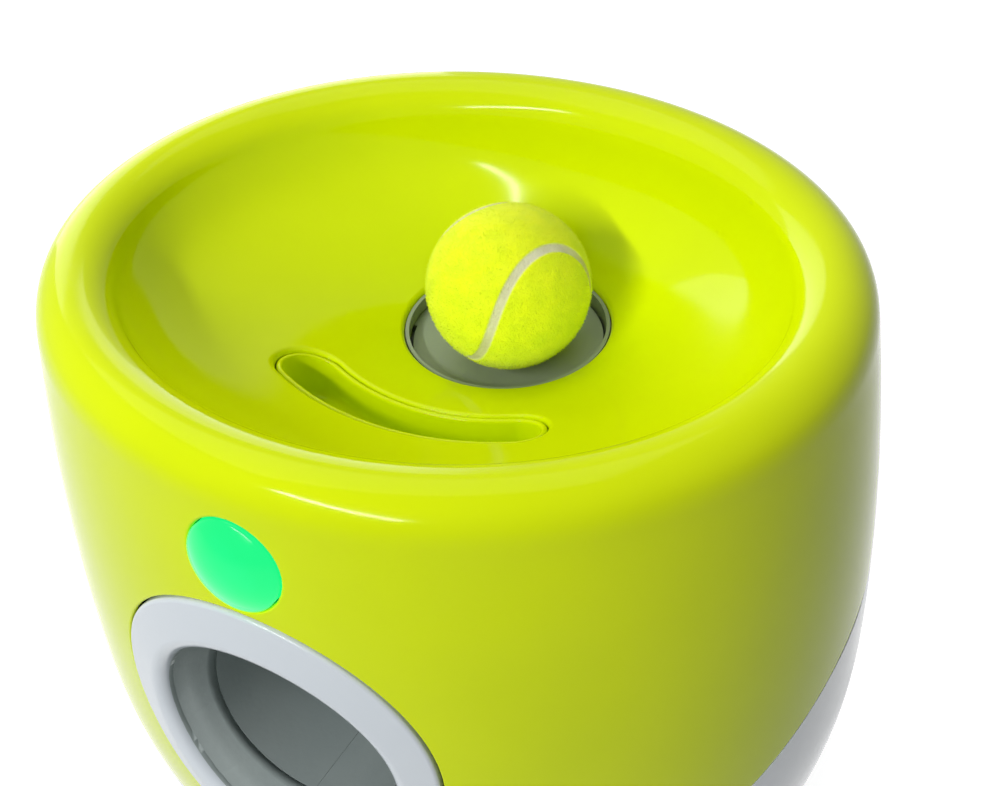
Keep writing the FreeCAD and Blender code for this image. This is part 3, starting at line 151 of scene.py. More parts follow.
def casing_sections(inset):
    """Ovals up the side, round the rim and down the bowl: half x, half y, middle y, level."""
    bottom = foot_height + inset
    corner = max(bottom_round - inset, 1.0)
    rows = []
    for step in range(bottom_rows):
        turn = math.radians(90 / (bottom_rows - 1) * step)
        level = bottom + corner * (1 - math.cos(turn))
        rows.append((level, side_half_width(bottom + corner) - corner * (1 - math.sin(turn))))
    for step in range(1, lower_rows + 1):
        share = (step / lower_rows) ** row_spread
        level = bottom + corner + (widest_level - bottom - corner) * share
        rows.append((level, side_half_width(level)))
    rise = height - rim_radius - widest_level
    reach = math.sqrt((upper_side_radius - rim_radius) ** 2 - rise ** 2)
    centre = half_width - upper_side_radius + reach
    turn = math.atan2(rise, reach)
    top = widest_level + upper_side_radius * math.sin(turn)
    for step in range(1, upper_rows + 1):
        level = top - (top - widest_level) * (1 - step / upper_rows) ** row_spread
        rows.append((level, side_half_width(level)))
    rows = [(r - inset, r * oval_ratio - inset, 0.0, z) for z, r in rows]
    shoulder = centre + rim_radius * math.cos(turn)
    end = math.radians(rim_end_angle)
    for step in range(1, rim_rows + 1):
        angle = turn + (end - turn) * step / rim_rows
        half_x = centre + (rim_radius - inset) * math.cos(angle)
        half_y = shoulder * oval_ratio - (shoulder - half_x)
        level = height - rim_radius + (rim_radius - inset) * math.sin(angle)
        rows.append((half_x, half_y, 0.0, level))
    start_x, start_y, _, start_z = rows[-1]
    low = hole_level - inset
    for step in range(1, bowl_rows + 1):
        share = (step / bowl_rows) ** row_spread
        fall = (start_z - crease_depth - low) * (1 - share ** bowl_power)
        crease = crease_depth * (1 - share) ** crease_power
        rows.append((start_x + (hole_radius - start_x) * share,
                     start_y + (hole_radius - start_y) * share,
                     hole_y * share, low + fall + crease))
    return rows


curves = {}


def casing_curve(inset):
    """The casing's sections and the bend at each, for a smooth curve through them."""
    if inset not in curves:
        rows = np.array(casing_sections(inset))
        inner = len(rows) - 2
        system = 4 * np.eye(inner) + np.eye(inner, k=1) + np.eye(inner, k=-1)
        bends = np.zeros_like(rows)
        bends[1:-1] = np.linalg.solve(system, 6 * (rows[2:] - 2 * rows[1:-1] + rows[:-2]))
        curves[inset] = rows, bends
    return curves[inset]


def casing_point(turn, step, inset=0.0):
    """Points of the casing's surface, moved inwards by the inset."""
    rows, bends = casing_curve(inset)
    step = np.clip(step, 0, LAST_STEP)
    low = np.minimum(step.astype(int), LAST_STEP - 1)
    late = (step - low)[:, None]
    early = 1 - late
    straight = early * rows[low] + late * rows[low + 1]
    curved = ((early ** 3 - early) * bends[low] + (late ** 3 - late) * bends[low + 1]) / 6
    half_x, half_y, middle_y, level = (straight + curved).T
    return np.stack([half_x * np.cos(turn), middle_y + half_y * np.sin(turn), level], 1)


def bowl_level(x, y):
    """Height of the bowl's surface over a place, by closing in on the oval that passes it."""
    low = np.full(len(x), BOWL_START - 4.0)
    high = np.full(len(x), float(LAST_STEP))
    ahead = np.zeros(len(x))
    aside = np.full(len(x), math.pi / 2)
    for _ in range(40):
        middle = (low + high) / 2
        on_x = casing_point(ahead, middle)
        centre = on_x[:, 1]
        half_y = casing_point(aside, middle)[:, 1] - centre
        outside = (x / on_x[:, 0]) ** 2 + ((y - centre) / half_y) ** 2 > 1
        high = np.where(outside, middle, high)
        low = np.where(outside, low, middle)
    return casing_point(ahead, low)[:, 2]


# --- Distances that the casing's openings are cut by, under nothing where they cut ------------
def along_launch(points):
    """How far points lie along the barrel from the breech."""
    return (points - BREECH) @ LAUNCH


def from_launch_axis(points, lift):
    """How far points lie from the barrel's axis, or from one that runs higher beside it."""
    away = points - BREECH - LIFT * lift
    return np.linalg.norm(away - np.outer(away @ LAUNCH, LAUNCH), axis=1)


def from_along(values, points, start):
    """The same distance, but never cutting nearer the breech than the start."""
    return np.maximum(values, start - along_launch(points))


lens_point = np.array([0, -side_half_width(lens_level) * oval_ratio, lens_level]) - BREECH
lens_lift = float(lens_point @ LIFT)
lens_seat = float(lens_point @ LAUNCH)


def past_bezel(points):
    away = from_launch_axis(points, bezel_lift) - bezel_radius - bezel_gap
    return from_along(away, points, muzzle_end)


def past_lens(points):
    away = from_launch_axis(points, lens_lift) - lens_radius - bezel_gap
    return from_along(away, points, mouth_start)


def parting_level(y):
    """Level of the line between base and cover, which swings down to the front."""
    share = np.clip((y - parting_middle_y) / parting_half_span, -1, 1)
    return parting_middle_level + parting_swing * np.sin(math.pi / 2 * share)


def above_parting(points):
    return points[:, 2] - parting_level(points[:, 1]) - parting_gap


def past_slot(points):
    """Level distance from the finger slot's outline; the walls under the bowl aren't cut."""
    x = points[:, 0]
    y = points[:, 1] - slot_middle_y - slot_bend_radius
    sweep = math.asin(slot_half_length / slot_bend_radius)
    angle = np.clip(np.arctan2(x, -y), -sweep, sweep)
    near_x = slot_bend_radius * np.sin(angle)
    near_y = -slot_bend_radius * np.cos(angle)
    away = np.hypot(x - near_x, y - near_y) - slot_half_width
    bowl_bottom, far_away = hole_level - 10.0, 30.0
    return np.where(points[:, 2] > bowl_bottom, away, np.maximum(away, far_away))


def past_hole(points):
    return np.hypot(points[:, 0], points[:, 1] - hole_y) - hole_radius


def mouth_bore(along):
    """Radius of the horn, which narrows from the mouth to the muzzle."""
    share = np.clip((along - muzzle_end) / (mouth_start - muzzle_end), 0, 1)
    return muzzle_radius + (mouth_radius - muzzle_radius) * share


def past_mouth(points):
    return from_launch_axis(points, 0) - mouth_bore(along_launch(points))


def within_bezel(points):
    away = bezel_radius - from_launch_axis(points, bezel_lift)
    return np.minimum(away, bezel_back_y - points[:, 1])


# --- Mesh pieces, and sheets cut from the casing's surface ------------------------------------
def mesh_object(name, points, faces, slot, normals=None):
    """Mesh piece from points in millimetres; normals are given per face corner where known."""
    mesh = bpy.data.meshes.new(name)
    mesh.from_pydata([tuple(p) for p in np.asarray(points) * MM], [], faces)
    mesh.polygons.foreach_set("use_smooth", [True] * len(mesh.polygons))
    if normals is not None:
        mesh.normals_split_custom_set(normals)
    mesh.validate()
    piece = bpy.data.objects.new(name, mesh)
    bpy.context.scene.collection.objects.link(piece)
    mesh.materials.append(finish_of(slot))
    return piece


def ring_faces(rings, sides, turned_over=False):
    """Four-sided faces from each ring of points to the next."""
    faces = []
    for first in range(0, (rings - 1) * sides, sides):
        for index in range(sides):
            one, two = first + index, first + (index + 1) % sides
            if turned_over:
                one, two = two, one
            faces.append([one, two, two + sides, one + sides])
    return faces


def surface_patch(turns, steps):
    """Flat net whose x is the turn and whose y is the step; the casing is rolled up from it."""
    net = bmesh.new()
    rows = [[net.verts.new((turn, step, 0)) for turn in turns] for step in steps]
    for near, far in zip(rows, rows[1:]):
        for index in range(len(turns) - 1):
            net.faces.new((near[index], near[index + 1], far[index + 1], far[index]))
    return net


def cut_net(net, inset, measure, lip):
    """Cuts away what measures under nothing, with extra lines across the lip's rounding."""
    flat = np.array([v.co[:2] for v in net.verts])
    values = measure(casing_point(flat[:, 0], flat[:, 1], inset))
    for vertex, value in zip(net.verts, values):
        vertex.co.z = value
    lines = 6
    for number in range(lines):
        ring = lip * (1 - math.cos(math.radians(90 / (lines - 1) * number)))
        everything = net.verts[:] + net.edges[:] + net.faces[:]
        bmesh.ops.bisect_plane(net, geom=everything, dist=0.01, plane_co=(0, 0, ring),
                               plane_no=(0, 0, 1), clear_inner=number == 0)


def casing_sheet(name, slot, net, cuts, inner, inset=0.0, paths=None):
    """Closed sheet along the casing: rounded at each cut, with a back and walls between.

    cuts are (measure, lip radius, way in), where no way in stands for straight into the
    surface; inner places the back, and paths leads the wall of a cut, by its number, over
    further points on its way to the back."""
    for measure, lip, _ in cuts:
        cut_net(net, inset, measure, lip)
    flat = np.array([v.co[:2] for v in net.verts])
    net.verts.index_update()
    faces = [[v.index for v in face.verts] for face in net.faces]
    net.free()
    flat, faces = close_seam(flat, faces)

    def shaped(turn, step):
        base = casing_point(turn, step, inset)
        moved = base.copy()
        for measure, lip, way in cuts:
            short = np.clip(lip - measure(base), 0, lip)
            depth = lip - np.sqrt(np.maximum(lip ** 2 - short ** 2, 0))
            moved -= depth[:, None] * (surface_normal(turn, step, inset) if way is None else way)
        return moved

    turn, step = flat.T
    front = shaped(turn, step)
    normals = normals_of(shaped, turn, step)
    back = inner(turn, step)
    base = casing_point(turn, step, inset)
    return close_sheet(name, slot, front, back, faces, normals, cuts, paths, base)


def surface_normal(turn, step, inset):
    """Outward normals of the casing's own surface."""
    return normals_of(lambda a, b: casing_point(a, b, inset), turn, step)


def normals_of(shape, turn, step):
    """Outward normals of a surface, by its slope between points close beside each other."""
    small_turn, small_step = 1e-4, 2e-3
    before = np.maximum(step - small_step, 0)
    after = np.minimum(step + small_step, LAST_STEP)
    across = shape(turn + small_turn, step) - shape(turn - small_turn, step)
    onward = shape(turn, after) - shape(turn, before)
    normal = np.cross(across, onward)
    return normal / np.maximum(np.linalg.norm(normal, axis=1), 1e-12)[:, None]


def close_seam(flat, faces):
    """Joins the net's two ends where it goes all the way round, and drops unused points."""
    start = {round(step, 4): index for index, (turn, step) in enumerate(flat) if abs(turn) < 1e-6}
    swap = {index: start[round(step, 4)] for index, (turn, step) in enumerate(flat)
            if abs(turn - FULL) < 1e-6 and round(step, 4) in start}
    faces = [[swap.get(index, index) for index in face] for face in faces]
    used = sorted(set(index for face in faces for index in face))
    place = {index: number for number, index in enumerate(used)}
    return flat[used], [[place[index] for index in face] for face in faces]


def close_sheet(name, slot, front, back, faces, normals, cuts, paths, base):
    """Joins front and back with walls along the open edges; base is the front before rounding."""
    edge_reach = 0.5
    count = len(front)
    edges = set((a, b) for face in faces for a, b in zip(face, face[1:] + face[:1]))
    rim_edges = [(a, b) for a, b in edges if (b, a) not in edges]
    points = [front, back]
    total = 2 * count
    chains = {}
    rim = sorted(set(index for edge in rim_edges for index in edge))
    for number, (measure, _, _) in enumerate(cuts):
        if not paths or number not in paths:
            continue
        chosen = [index for index, value in zip(rim, measure(base[rim])) if abs(value) < edge_reach]
        for stage in paths[number](front[chosen]):
            points.append(stage)
            for offset, index in enumerate(chosen):
                chains.setdefault(index, []).append(total + offset)
            total += len(chosen)
    corner_normals = [normals[index] for face in faces for index in face]
    all_faces = faces + [[index + count for index in reversed(face)] for face in faces]
    corner_normals += [(0, 0, 0)] * sum(len(face) for face in faces)
    for a, b in rim_edges:
        chain_a = [a] + chains.get(a, []) + [a + count]
        chain_b = [b] + chains.get(b, []) + [b + count]
        if len(chain_a) != len(chain_b):
            chain_a, chain_b = [a, a + count], [b, b + count]
        for k in range(len(chain_a) - 1):
            all_faces.append([chain_b[k], chain_a[k], chain_a[k + 1], chain_b[k + 1]])
            corner_normals += [(0, 0, 0)] * 4
    return mesh_object(name, np.vstack(points), all_faces, slot, [tuple(n) for n in corner_normals])


def cover_back(turn, step):
    """Back of the cover, one wall inside; straight down or in close to the cuts."""
    close = 3.0
    back = casing_point(turn, step, casing_wall)
    base = casing_point(turn, step)
    for measure, way in ((past_slot, UP), (past_bezel, LAUNCH), (past_lens, LAUNCH)):
        near = (measure(base) < close)[:, None]
        back = np.where(near, base - way * casing_wall, back)
    return back


def steps_between(first, last, per_step):
    return np.linspace(first, last, round((last - first) * per_step) + 1)


def top_cover():
    """Lime cover from the parting up over the rim and down the bowl to its hole."""
    turns = np.linspace(0, FULL, cover_points)
    net = surface_patch(turns, steps_between(net_start_step, LAST_STEP, cover_rows))
    cuts = [(above_parting, parting_lip, None), (past_bezel, bezel_seat_lip, LAUNCH),
            (past_lens, lens_seat_lip, LAUNCH), (past_slot, slot_lip, UP), (past_hole, hole_lip, UP)]
    piece = casing_sheet("lime_cover", "lime_shell", net, cuts, cover_back)
    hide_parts("top_cover")
    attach(piece, "casing")


def outlet_ring():
    """White ring with the horn that leads in to the barrel."""
    front = 3 * math.pi / 2
    turns = np.linspace(front - bezel_half_turn, front + bezel_half_turn, ring_points)
    net = surface_patch(turns, steps_between(net_start_step, ring_end_step, ring_rows))
    cuts = [(within_bezel, bezel_lip, None), (past_mouth, mouth_lip, LAUNCH)]

    def back(turn, step):
        place = casing_point(turn, step, -bezel_proud)
        base = place - LAUNCH * (bezel_depth + bezel_proud)
        away = base - BREECH
        out = away - np.outer(away @ LAUNCH, LAUNCH)
        radius = np.linalg.norm(out, axis=1)
        push = horn_wall * np.clip(1 - (radius - mouth_radius) / horn_taper, 0, 1)
        return base + out * (push / np.maximum(radius, 1))[:, None]

    def horn(edge):
        away = edge - BREECH
        along = away @ LAUNCH
        out = away - np.outer(along, LAUNCH)
        out = out / np.linalg.norm(out, axis=1)[:, None]
        for share in (0.25, 0.5, 0.75, 1.0):
            reach = along + (muzzle_end - along) * share
            yield BREECH + np.outer(reach, LAUNCH) + out * mouth_bore(reach)[:, None]
        yield BREECH + LAUNCH * muzzle_end + out * (muzzle_radius + horn_wall)

    piece = casing_sheet("outlet_ring", "white_shell", net, cuts, back, -bezel_proud, {1: horn})

    # The horn's own faces are of the barrel's plastic.
    mouth_margin, muzzle_margin = 0.3, 0.5
    piece.data.materials.append(finish_of("barrel_plastic"))
    middles = np.array([face.center[:] for face in piece.data.polygons]) / MM
    near_axis = from_launch_axis(middles, 0) < mouth_radius + mouth_margin
    past_muzzle = along_launch(middles) > muzzle_end - muzzle_margin
    piece.data.polygons.foreach_set("material_index", (near_axis & past_muzzle).astype(int))
    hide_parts("outlet_bezel")
    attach(piece, "casing")


def ready_window():
    """Green window: a clear dome with a straight skirt that goes in through the wall."""
    sides, rows = 96, 16
    dome_radius = (lens_radius ** 2 + lens_dome ** 2) / (2 * lens_dome)
    reach = math.asin(lens_radius / dome_radius)
    profile = [(lens_seat - lens_depth, lens_radius), (lens_seat - lens_depth / 2, lens_radius)]
    for step in range(rows):
        angle = reach * (1 - step / rows)
        drop = dome_radius * (1 - math.cos(angle))
        profile.append((lens_seat + lens_dome - drop, dome_radius * math.sin(angle)))
    turns = np.linspace(0, FULL, sides, endpoint=False)
    around = np.outer(np.cos(turns), (1, 0, 0)) + np.outer(np.sin(turns), LIFT)
    axis = BREECH + LIFT * lens_lift
    points = [axis + LAUNCH * along + around * radius for along, radius in profile]
    points.append([axis + LAUNCH * (lens_seat - lens_depth), axis + LAUNCH * (lens_seat + lens_dome)])
    back, tip = len(profile) * sides, len(profile) * sides + 1
    faces = [[index, (index + 1) % sides, back] for index in range(sides)]
    faces += ring_faces(len(profile), sides, turned_over=True)
    faces += [[back - sides + (index + 1) % sides, back - sides + index, tip] for index in range(sides)]
    piece = mesh_object("ready_window", np.vstack(points), faces, "green_lens")
    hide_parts("ready_lens")
    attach(piece, "casing")


def slot_loop(grow):
    """Points round the finger slot's outline, grown all round."""
    count = 240
    sweep = math.asin(slot_half_length / slot_bend_radius)
    half = slot_half_width + grow
    lengths = [2 * sweep * (slot_bend_radius + half), math.pi * half,
               2 * sweep * (slot_bend_radius - half), math.pi * half]
    ends = np.cumsum([0] + lengths)
    points = []
    for distance in np.linspace(0, ends[-1], count, endpoint=False):
        run = int(np.searchsorted(ends, distance, side="right")) - 1
        share = (distance - ends[run]) / lengths[run]
        side = 1 if run < 2 else -1
        if run in (0, 2):
            angle = side * sweep * (2 * share - 1)
            reach = slot_bend_radius + side * half
            along = 0.0
        else:
            angle = side * sweep
            reach = slot_bend_radius + side * half * math.cos(math.pi * share)
            along = side * half * math.sin(math.pi * share)
        points.append((reach * math.sin(angle) + along * math.cos(angle),
                       -reach * math.cos(angle) + along * math.sin(angle)))
    return np.array(points) + (0, slot_middle_y + slot_bend_radius)


def slot_tub():
    """Lime tub under the finger slot, with a rounded rim and floor corner."""
    outer_wall = -seat_gap
    inner_wall = -seat_gap - pocket_wall
    half_rim = pocket_wall / 2
    floor = pocket_floor_level + pocket_wall
    round_in = 3.0
    loops = []

    def add(grow, level):
        flat = slot_loop(grow)
        loops.append(np.column_stack([flat, np.broadcast_to(level, len(flat))]))

    add(outer_wall, pocket_floor_level)
    middle = slot_loop(outer_wall - half_rim)
    top = bowl_level(middle[:, 0], middle[:, 1]) - pocket_drop - half_rim
    add(outer_wall, top)
    for turn in range(30, 180, 30):
        angle = math.radians(turn)
        add(outer_wall - half_rim + half_rim * math.cos(angle), top + half_rim * math.sin(angle))
    add(inner_wall, top)
    for turn in range(0, 91, 15):
        angle = math.radians(turn)
        add(inner_wall - round_in * (1 - math.cos(angle)), floor + round_in * (1 - math.sin(angle)))
    count = len(loops[0])
    faces = ring_faces(len(loops), count)
    faces.append([(len(loops) - 1) * count + index for index in range(count)])
    faces.append(list(reversed(range(count))))
    piece = mesh_object("slot_tub", np.vstack(loops), faces, "lime_shell")
    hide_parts("handle_pocket")
    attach(piece, "casing")


def plunger_spring():
    """Wire coil between the breech cap and the plunger; the real one shortens when the plunger is drawn
    back, this one is made at one length.
    """
    steps, sides = 40 * spring_turns, 10
    turns = np.linspace(0, FULL * spring_turns, steps + 1)
    along = np.linspace(spring_start, spring_end, steps + 1)
    out = np.outer(np.cos(turns), (1, 0, 0)) + np.outer(np.sin(turns), LIFT)
    middle = BREECH + np.outer(along, LAUNCH) + out * spring_radius
    corners = np.linspace(0, FULL, sides, endpoint=False)
    rings = [centre + spring_wire / 2 * (np.outer(np.cos(corners), way) + np.outer(np.sin(corners), LAUNCH))
             for centre, way in zip(middle, out)]
    faces = [list(range(sides)), [steps * sides + corner for corner in reversed(range(sides))]]
    faces += ring_faces(steps + 1, sides, turned_over=True)
    piece = mesh_object("return_spring", np.vstack(rings), faces, "steel")
    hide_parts("plunger_spring")
    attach(piece, "casing")
    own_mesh(piece)


# --- Ball -------------------------------------------------------------------------------------
ball_radius = 25.5
ball_centre = np.array([5.0, 26.0, 198.0])
ball_turns = (("Z", -76.0), ("X", -18.0), ("Y", 171.0))
seam_half_width = 1.1
seam_sink = 0.35
felt_sink = 0.25
felt_edge = 0.5
fibre_count = 26000
fibre_length = 0.9
fibre_thickness = 0.045
fibre_sink = 0.3
fibre_lean = 0.45
fibre_droop = 0.35


def seam_line():
    """Closed wave that divides a ball into two equal curved strips."""
    t = np.linspace(0, FULL, 1400, endpoint=False)
    wide, narrow = 0.75, 0.25
    x = wide * np.cos(t) + narrow * np.cos(3 * t)
    y = wide * np.sin(t) - narrow * np.sin(3 * t)
    z = 2 * math.sqrt(wide * narrow) * np.sin(2 * t)
    line = np.stack([x, y, z], 1)
    return line / np.linalg.norm(line, axis=1)[:, None]


def felt_ball():
    """Felt ball: two cloth strips with a sunk rubber seam between, and loose fibres."""
    turned = Matrix.Identity(3)
    for axis, angle in ball_turns:
        turned = turned @ Matrix.Rotation(math.radians(angle), 3, axis)
    line = seam_line() @ np.array(turned).T
    tree = kdtree.KDTree(len(line))
    for index, point in enumerate(line):
        tree.insert(point, index)
    tree.balance()

    def from_seam(ways):
        return np.array([tree.find(way)[2] for way in ways]) * ball_radius

    ball = bmesh.new()
    bmesh.ops.create_icosphere(ball, subdivisions=7, radius=1)
    ways = np.array([v.co.normalized() for v in ball.verts])
    away = from_seam(ways)
    on_felt = np.clip((away - seam_half_width) / felt_edge, 0, 1)
    on_felt = on_felt * on_felt * (3 - 2 * on_felt)
    radius = ball_radius - felt_sink - seam_sink * (1 - on_felt)
    for vertex, way, reach in zip(ball.verts, ways, radius):
        vertex.co = Vector((ball_centre + way * reach) * MM)
    mesh = bpy.data.meshes.new("felt_ball")
    ball.to_mesh(mesh)
    ball.free()
    mesh.polygons.foreach_set("use_smooth", [True] * len(mesh.polygons))
    cloth = mesh.attributes.new("cloth", "FLOAT", "POINT")
    cloth.data.foreach_set("value", on_felt)
    piece = bpy.data.objects.new("felt_ball", mesh)
    bpy.context.scene.collection.objects.link(piece)
    mesh.materials.append(finish_of("felt"))
    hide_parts("tennis_ball")
    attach(piece, "ball")
    ball_fibres(from_seam)


def ball_fibres(from_seam):
    """Short loose fibres that stand and lean all over the felt."""
    chance = np.random.default_rng(11)
    ways = chance.normal(size=(fibre_count, 3))
    ways /= np.linalg.norm(ways, axis=1)[:, None]
    ways = ways[from_seam(ways) > seam_half_width + felt_edge]
    count = len(ways)
    lean = chance.normal(size=(count, 3))
    lean -= ways * np.sum(lean * ways, 1)[:, None]
    length = fibre_length * chance.uniform(0.4, 1.0, count)[:, None]
    side = np.cross(ways, lean)
    side /= np.linalg.norm(side, axis=1)[:, None]
    over = np.cross(side, ways)
    root = ways * (ball_radius - fibre_sink)

    def middle_at(share):
        rise = share * (1 - fibre_droop * share)
        return root + length * (ways * rise + lean * fibre_lean * share ** 2)

    rings = []
    for share, width in ((0, 1), (0.4, 0.9), (0.75, 0.65)):
        for corner in range(3):
            angle = corner * FULL / 3
            out = side * math.cos(angle) + over * math.sin(angle)
            rings.append(middle_at(share) + fibre_thickness * width * out)
    points = np.stack(rings + [middle_at(1)], 1).reshape(-1, 3) + ball_centre
    pattern = ring_faces(3, 3) + [[6, 7, 9], [7, 8, 9], [8, 6, 9], [2, 1, 0]]
    faces = [[first + corner for corner in face] for first in range(0, 10 * count, 10) for face in pattern]
    piece = mesh_object("ball_fibres", points, faces, "felt")
    piece.data.attributes.new("cloth", "FLOAT", "POINT").data.foreach_set("value", np.ones(len(points)))
    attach(piece, "ball")


# --- Finishes ---------------------------------------------------------------------------------
def linear(colour):
    """Screen colour out of 255 as light values."""
    parts = [c / 255 for c in colour]
    return [c / 12.92 if c <= 0.04045 else ((c + 0.055) / 1.055) ** 2.4 for c in parts] + [1.0]


def new_group(name, inputs, output, kind):
    """Empty shader group with its sockets, its two ends and the place on the piece."""
    group = bpy.data.node_groups.new(name, "ShaderNodeTree")
    for label, socket, value in inputs:
        made = group.interface.new_socket(label, in_out="INPUT", socket_type=socket)
        made.default_value = value
    group.interface.new_socket(output, in_out="OUTPUT", socket_type=kind)
    start = group.nodes.new("NodeGroupInput")
    end = group.nodes.new("NodeGroupOutput")
    where = group.nodes.new("ShaderNodeTexCoord")
    return group, start, end, where


def noise(group, where, size_socket, detail, stretch=1.0):
    """Noise over the piece; the size socket is how many patches lie in a metre."""
    node = group.nodes.new("ShaderNodeTexNoise")
    node.inputs["Detail"].default_value = detail
    group.links.new(where.outputs["Object"], node.inputs["Vector"])
    scaled = group.nodes.new("ShaderNodeMath")
    scaled.operation = "MULTIPLY"
    scaled.inputs[1].default_value = stretch
    group.links.new(size_socket, scaled.inputs[0])
    group.links.new(scaled.outputs[0], node.inputs["Scale"])
    return node


def ramp_between(group, factor, low, high):
    """Goes smoothly from nothing to one as the factor goes from low to high."""
    node = group.nodes.new("ShaderNodeMapRange")
    node.interpolation_type = "SMOOTHSTEP"
    node.inputs["From Min"].default_value = low
    node.inputs["From Max"].default_value = high
    group.links.new(factor, node.inputs["Value"])
    return node.outputs["Result"]


def mix_of(tree, share, first, second, colours=True):
    """Goes from the first to the second as the share goes from nothing to one."""
    mix = tree.nodes.new("ShaderNodeMix")
    mix.data_type = "RGBA" if colours else "FLOAT"
    place = 6 if colours else 2
    tree.links.new(share, mix.inputs[0])
    tree.links.new(first, mix.inputs[place])
    tree.links.new(second, mix.inputs[place + 1])
    return mix.outputs[2 if colours else 0]


def make_colour_drift():
    """Colour that drifts between two shades of the plastic, paint or metal."""
    group, start, end, where = new_group("colour_drift", [
        ("Main Colour", "NodeSocketColor", (1, 1, 1, 1)), ("Other Colour", "NodeSocketColor", (1, 1, 1, 1)),
        ("Patches per Metre", "NodeSocketFloat", 20.0)], "Colour", "NodeSocketColor")
    broad = noise(group, where, start.outputs["Patches per Metre"], 3.0)
    share = ramp_between(group, broad.outputs["Fac"], 0.3, 0.7)
    mixed = mix_of(group, share, start.outputs["Main Colour"], start.outputs["Other Colour"])
    group.links.new(mixed, end.inputs["Colour"])
    return group


def make_surface_grain():
    """Fine unevenness of a moulded or rolled surface, as a height."""
    group, start, end, where = new_group("surface_grain", [
        ("Grains per Metre", "NodeSocketFloat", 400.0)], "Height", "NodeSocketFloat")
    fine = noise(group, where, start.outputs["Grains per Metre"], 4.0)
    broad = noise(group, where, start.outputs["Grains per Metre"], 1.0, 0.12)
    both = group.nodes.new("ShaderNodeMath")
    both.operation = "ADD"
    group.links.new(fine.outputs["Fac"], both.inputs[0])
    group.links.new(broad.outputs["Fac"], both.inputs[1])
    group.links.new(both.outputs[0], end.inputs["Height"])
    return group


def make_handling_marks():
    """Roughness that changes where the surface has been handled."""
    group, start, end, where = new_group("handling_marks", [
        ("Polished", "NodeSocketFloat", 0.1), ("Dulled", "NodeSocketFloat", 0.3),
        ("Marks per Metre", "NodeSocketFloat", 30.0)], "Roughness", "NodeSocketFloat")
    broad = noise(group, where, start.outputs["Marks per Metre"], 6.0)
    share = ramp_between(group, broad.outputs["Fac"], 0.35, 0.75)
    mixed = mix_of(group, share, start.outputs["Polished"], start.outputs["Dulled"], colours=False)
    group.links.new(mixed, end.inputs["Roughness"])
    return group


colour_drift = make_colour_drift()
surface_grain = make_surface_grain()
handling_marks = make_handling_marks()

# Main colour, other colour, patches per metre, roughness where polished and where dulled,
# grains per metre, their height in millimetres, whether it's metal, and gloss.
FINISHES = {
    "lime_shell": ((216, 234, 0), (210, 229, 0), 14, 0.09, 0.15, 260, 0.012, 0, 0.11),
    "white_shell": ((214, 221, 227), (207, 215, 222), 12, 0.13, 0.22, 260, 0.014, 0, 0.4),
    # The yellow-green tint in grey_plastic's colours is painted reflection of the lime bowl round the
    # throat.
    "grey_plastic": ((140, 150, 128), (130, 141, 120), 25, 0.32, 0.48, 700, 0.05, 0, 0.4),
    "barrel_plastic": ((158, 168, 166), (148, 159, 158), 20, 0.28, 0.42, 600, 0.05, 0, 0.4),
    "black_plastic": ((30, 31, 33), (40, 41, 43), 30, 0.38, 0.55, 800, 0.08, 0, 0.5),
    "gear_plastic": ((226, 221, 204), (214, 208, 190), 40, 0.35, 0.5, 800, 0.05, 0, 0.5),
    "steel": ((178, 181, 185), (160, 163, 168), 60, 0.22, 0.42, 900, 0.06, 1, 0.5),
    "brass": ((196, 162, 92), (178, 144, 78), 60, 0.25, 0.45, 900, 0.06, 1, 0.5),
    "motor_can": ((150, 153, 156), (134, 137, 141), 50, 0.28, 0.45, 900, 0.05, 1, 0.5),
    "circuit_board": ((28, 92, 52), (20, 76, 42), 180, 0.3, 0.45, 1200, 0.08, 0, 0.5),
    "black_rubber": ((27, 27, 28), (36, 36, 37), 60, 0.6, 0.8, 1200, 0.15, 0, 0.3),
    "battery_sleeve": ((52, 56, 62), (44, 47, 53), 30, 0.3, 0.42, 500, 0.03, 0, 0.5),
}
finishes = {}


def new_material(name):
    material = bpy.data.materials.new(name)
    material.use_nodes = True
    return material, material.node_tree, material.node_tree.nodes["Principled BSDF"]


def placed(tree, group, **values):
    """Puts a group in a finish, with these values on its sockets."""
    node = tree.nodes.new("ShaderNodeGroup")
    node.node_tree = group
    for label, value in values.items():
        node.inputs[label.replace("_", " ")].default_value = value
    return node


def drift(tree, main, other, patches):
    """Colour that drifts between two screen colours."""
    node = placed(tree, colour_drift, Main_Colour=linear(main), Other_Colour=linear(other),
                  Patches_per_Metre=patches)
    return node.outputs["Colour"]


def add_marks(tree, shader, polished, dulled, marks):
    node = placed(tree, handling_marks, Polished=polished, Dulled=dulled, Marks_per_Metre=marks)
    tree.links.new(node.outputs["Roughness"], shader.inputs["Roughness"])


def add_grain(tree, shader, grains, height):
    """Fine bumps over the surface; their height is in millimetres."""
    grain = placed(tree, surface_grain, Grains_per_Metre=grains)
    bump = tree.nodes.new("ShaderNodeBump")
    bump.inputs["Strength"].default_value = 1.0
    bump.inputs["Distance"].default_value = height * MM
    tree.links.new(grain.outputs["Height"], bump.inputs["Height"])
    tree.links.new(bump.outputs["Normal"], shader.inputs["Normal"])


def plain_finish(name):
    main, other, patches, polished, dulled, grains, bump, metal, gloss = FINISHES[name]
    material, tree, shader = new_material(name)
    tree.links.new(drift(tree, main, other, patches), shader.inputs["Base Color"])
    add_marks(tree, shader, polished, dulled, patches * 3)
    add_grain(tree, shader, grains, bump)
    shader.inputs["Metallic"].default_value = metal
    shader.inputs["Specular IOR Level"].default_value = gloss
    return material


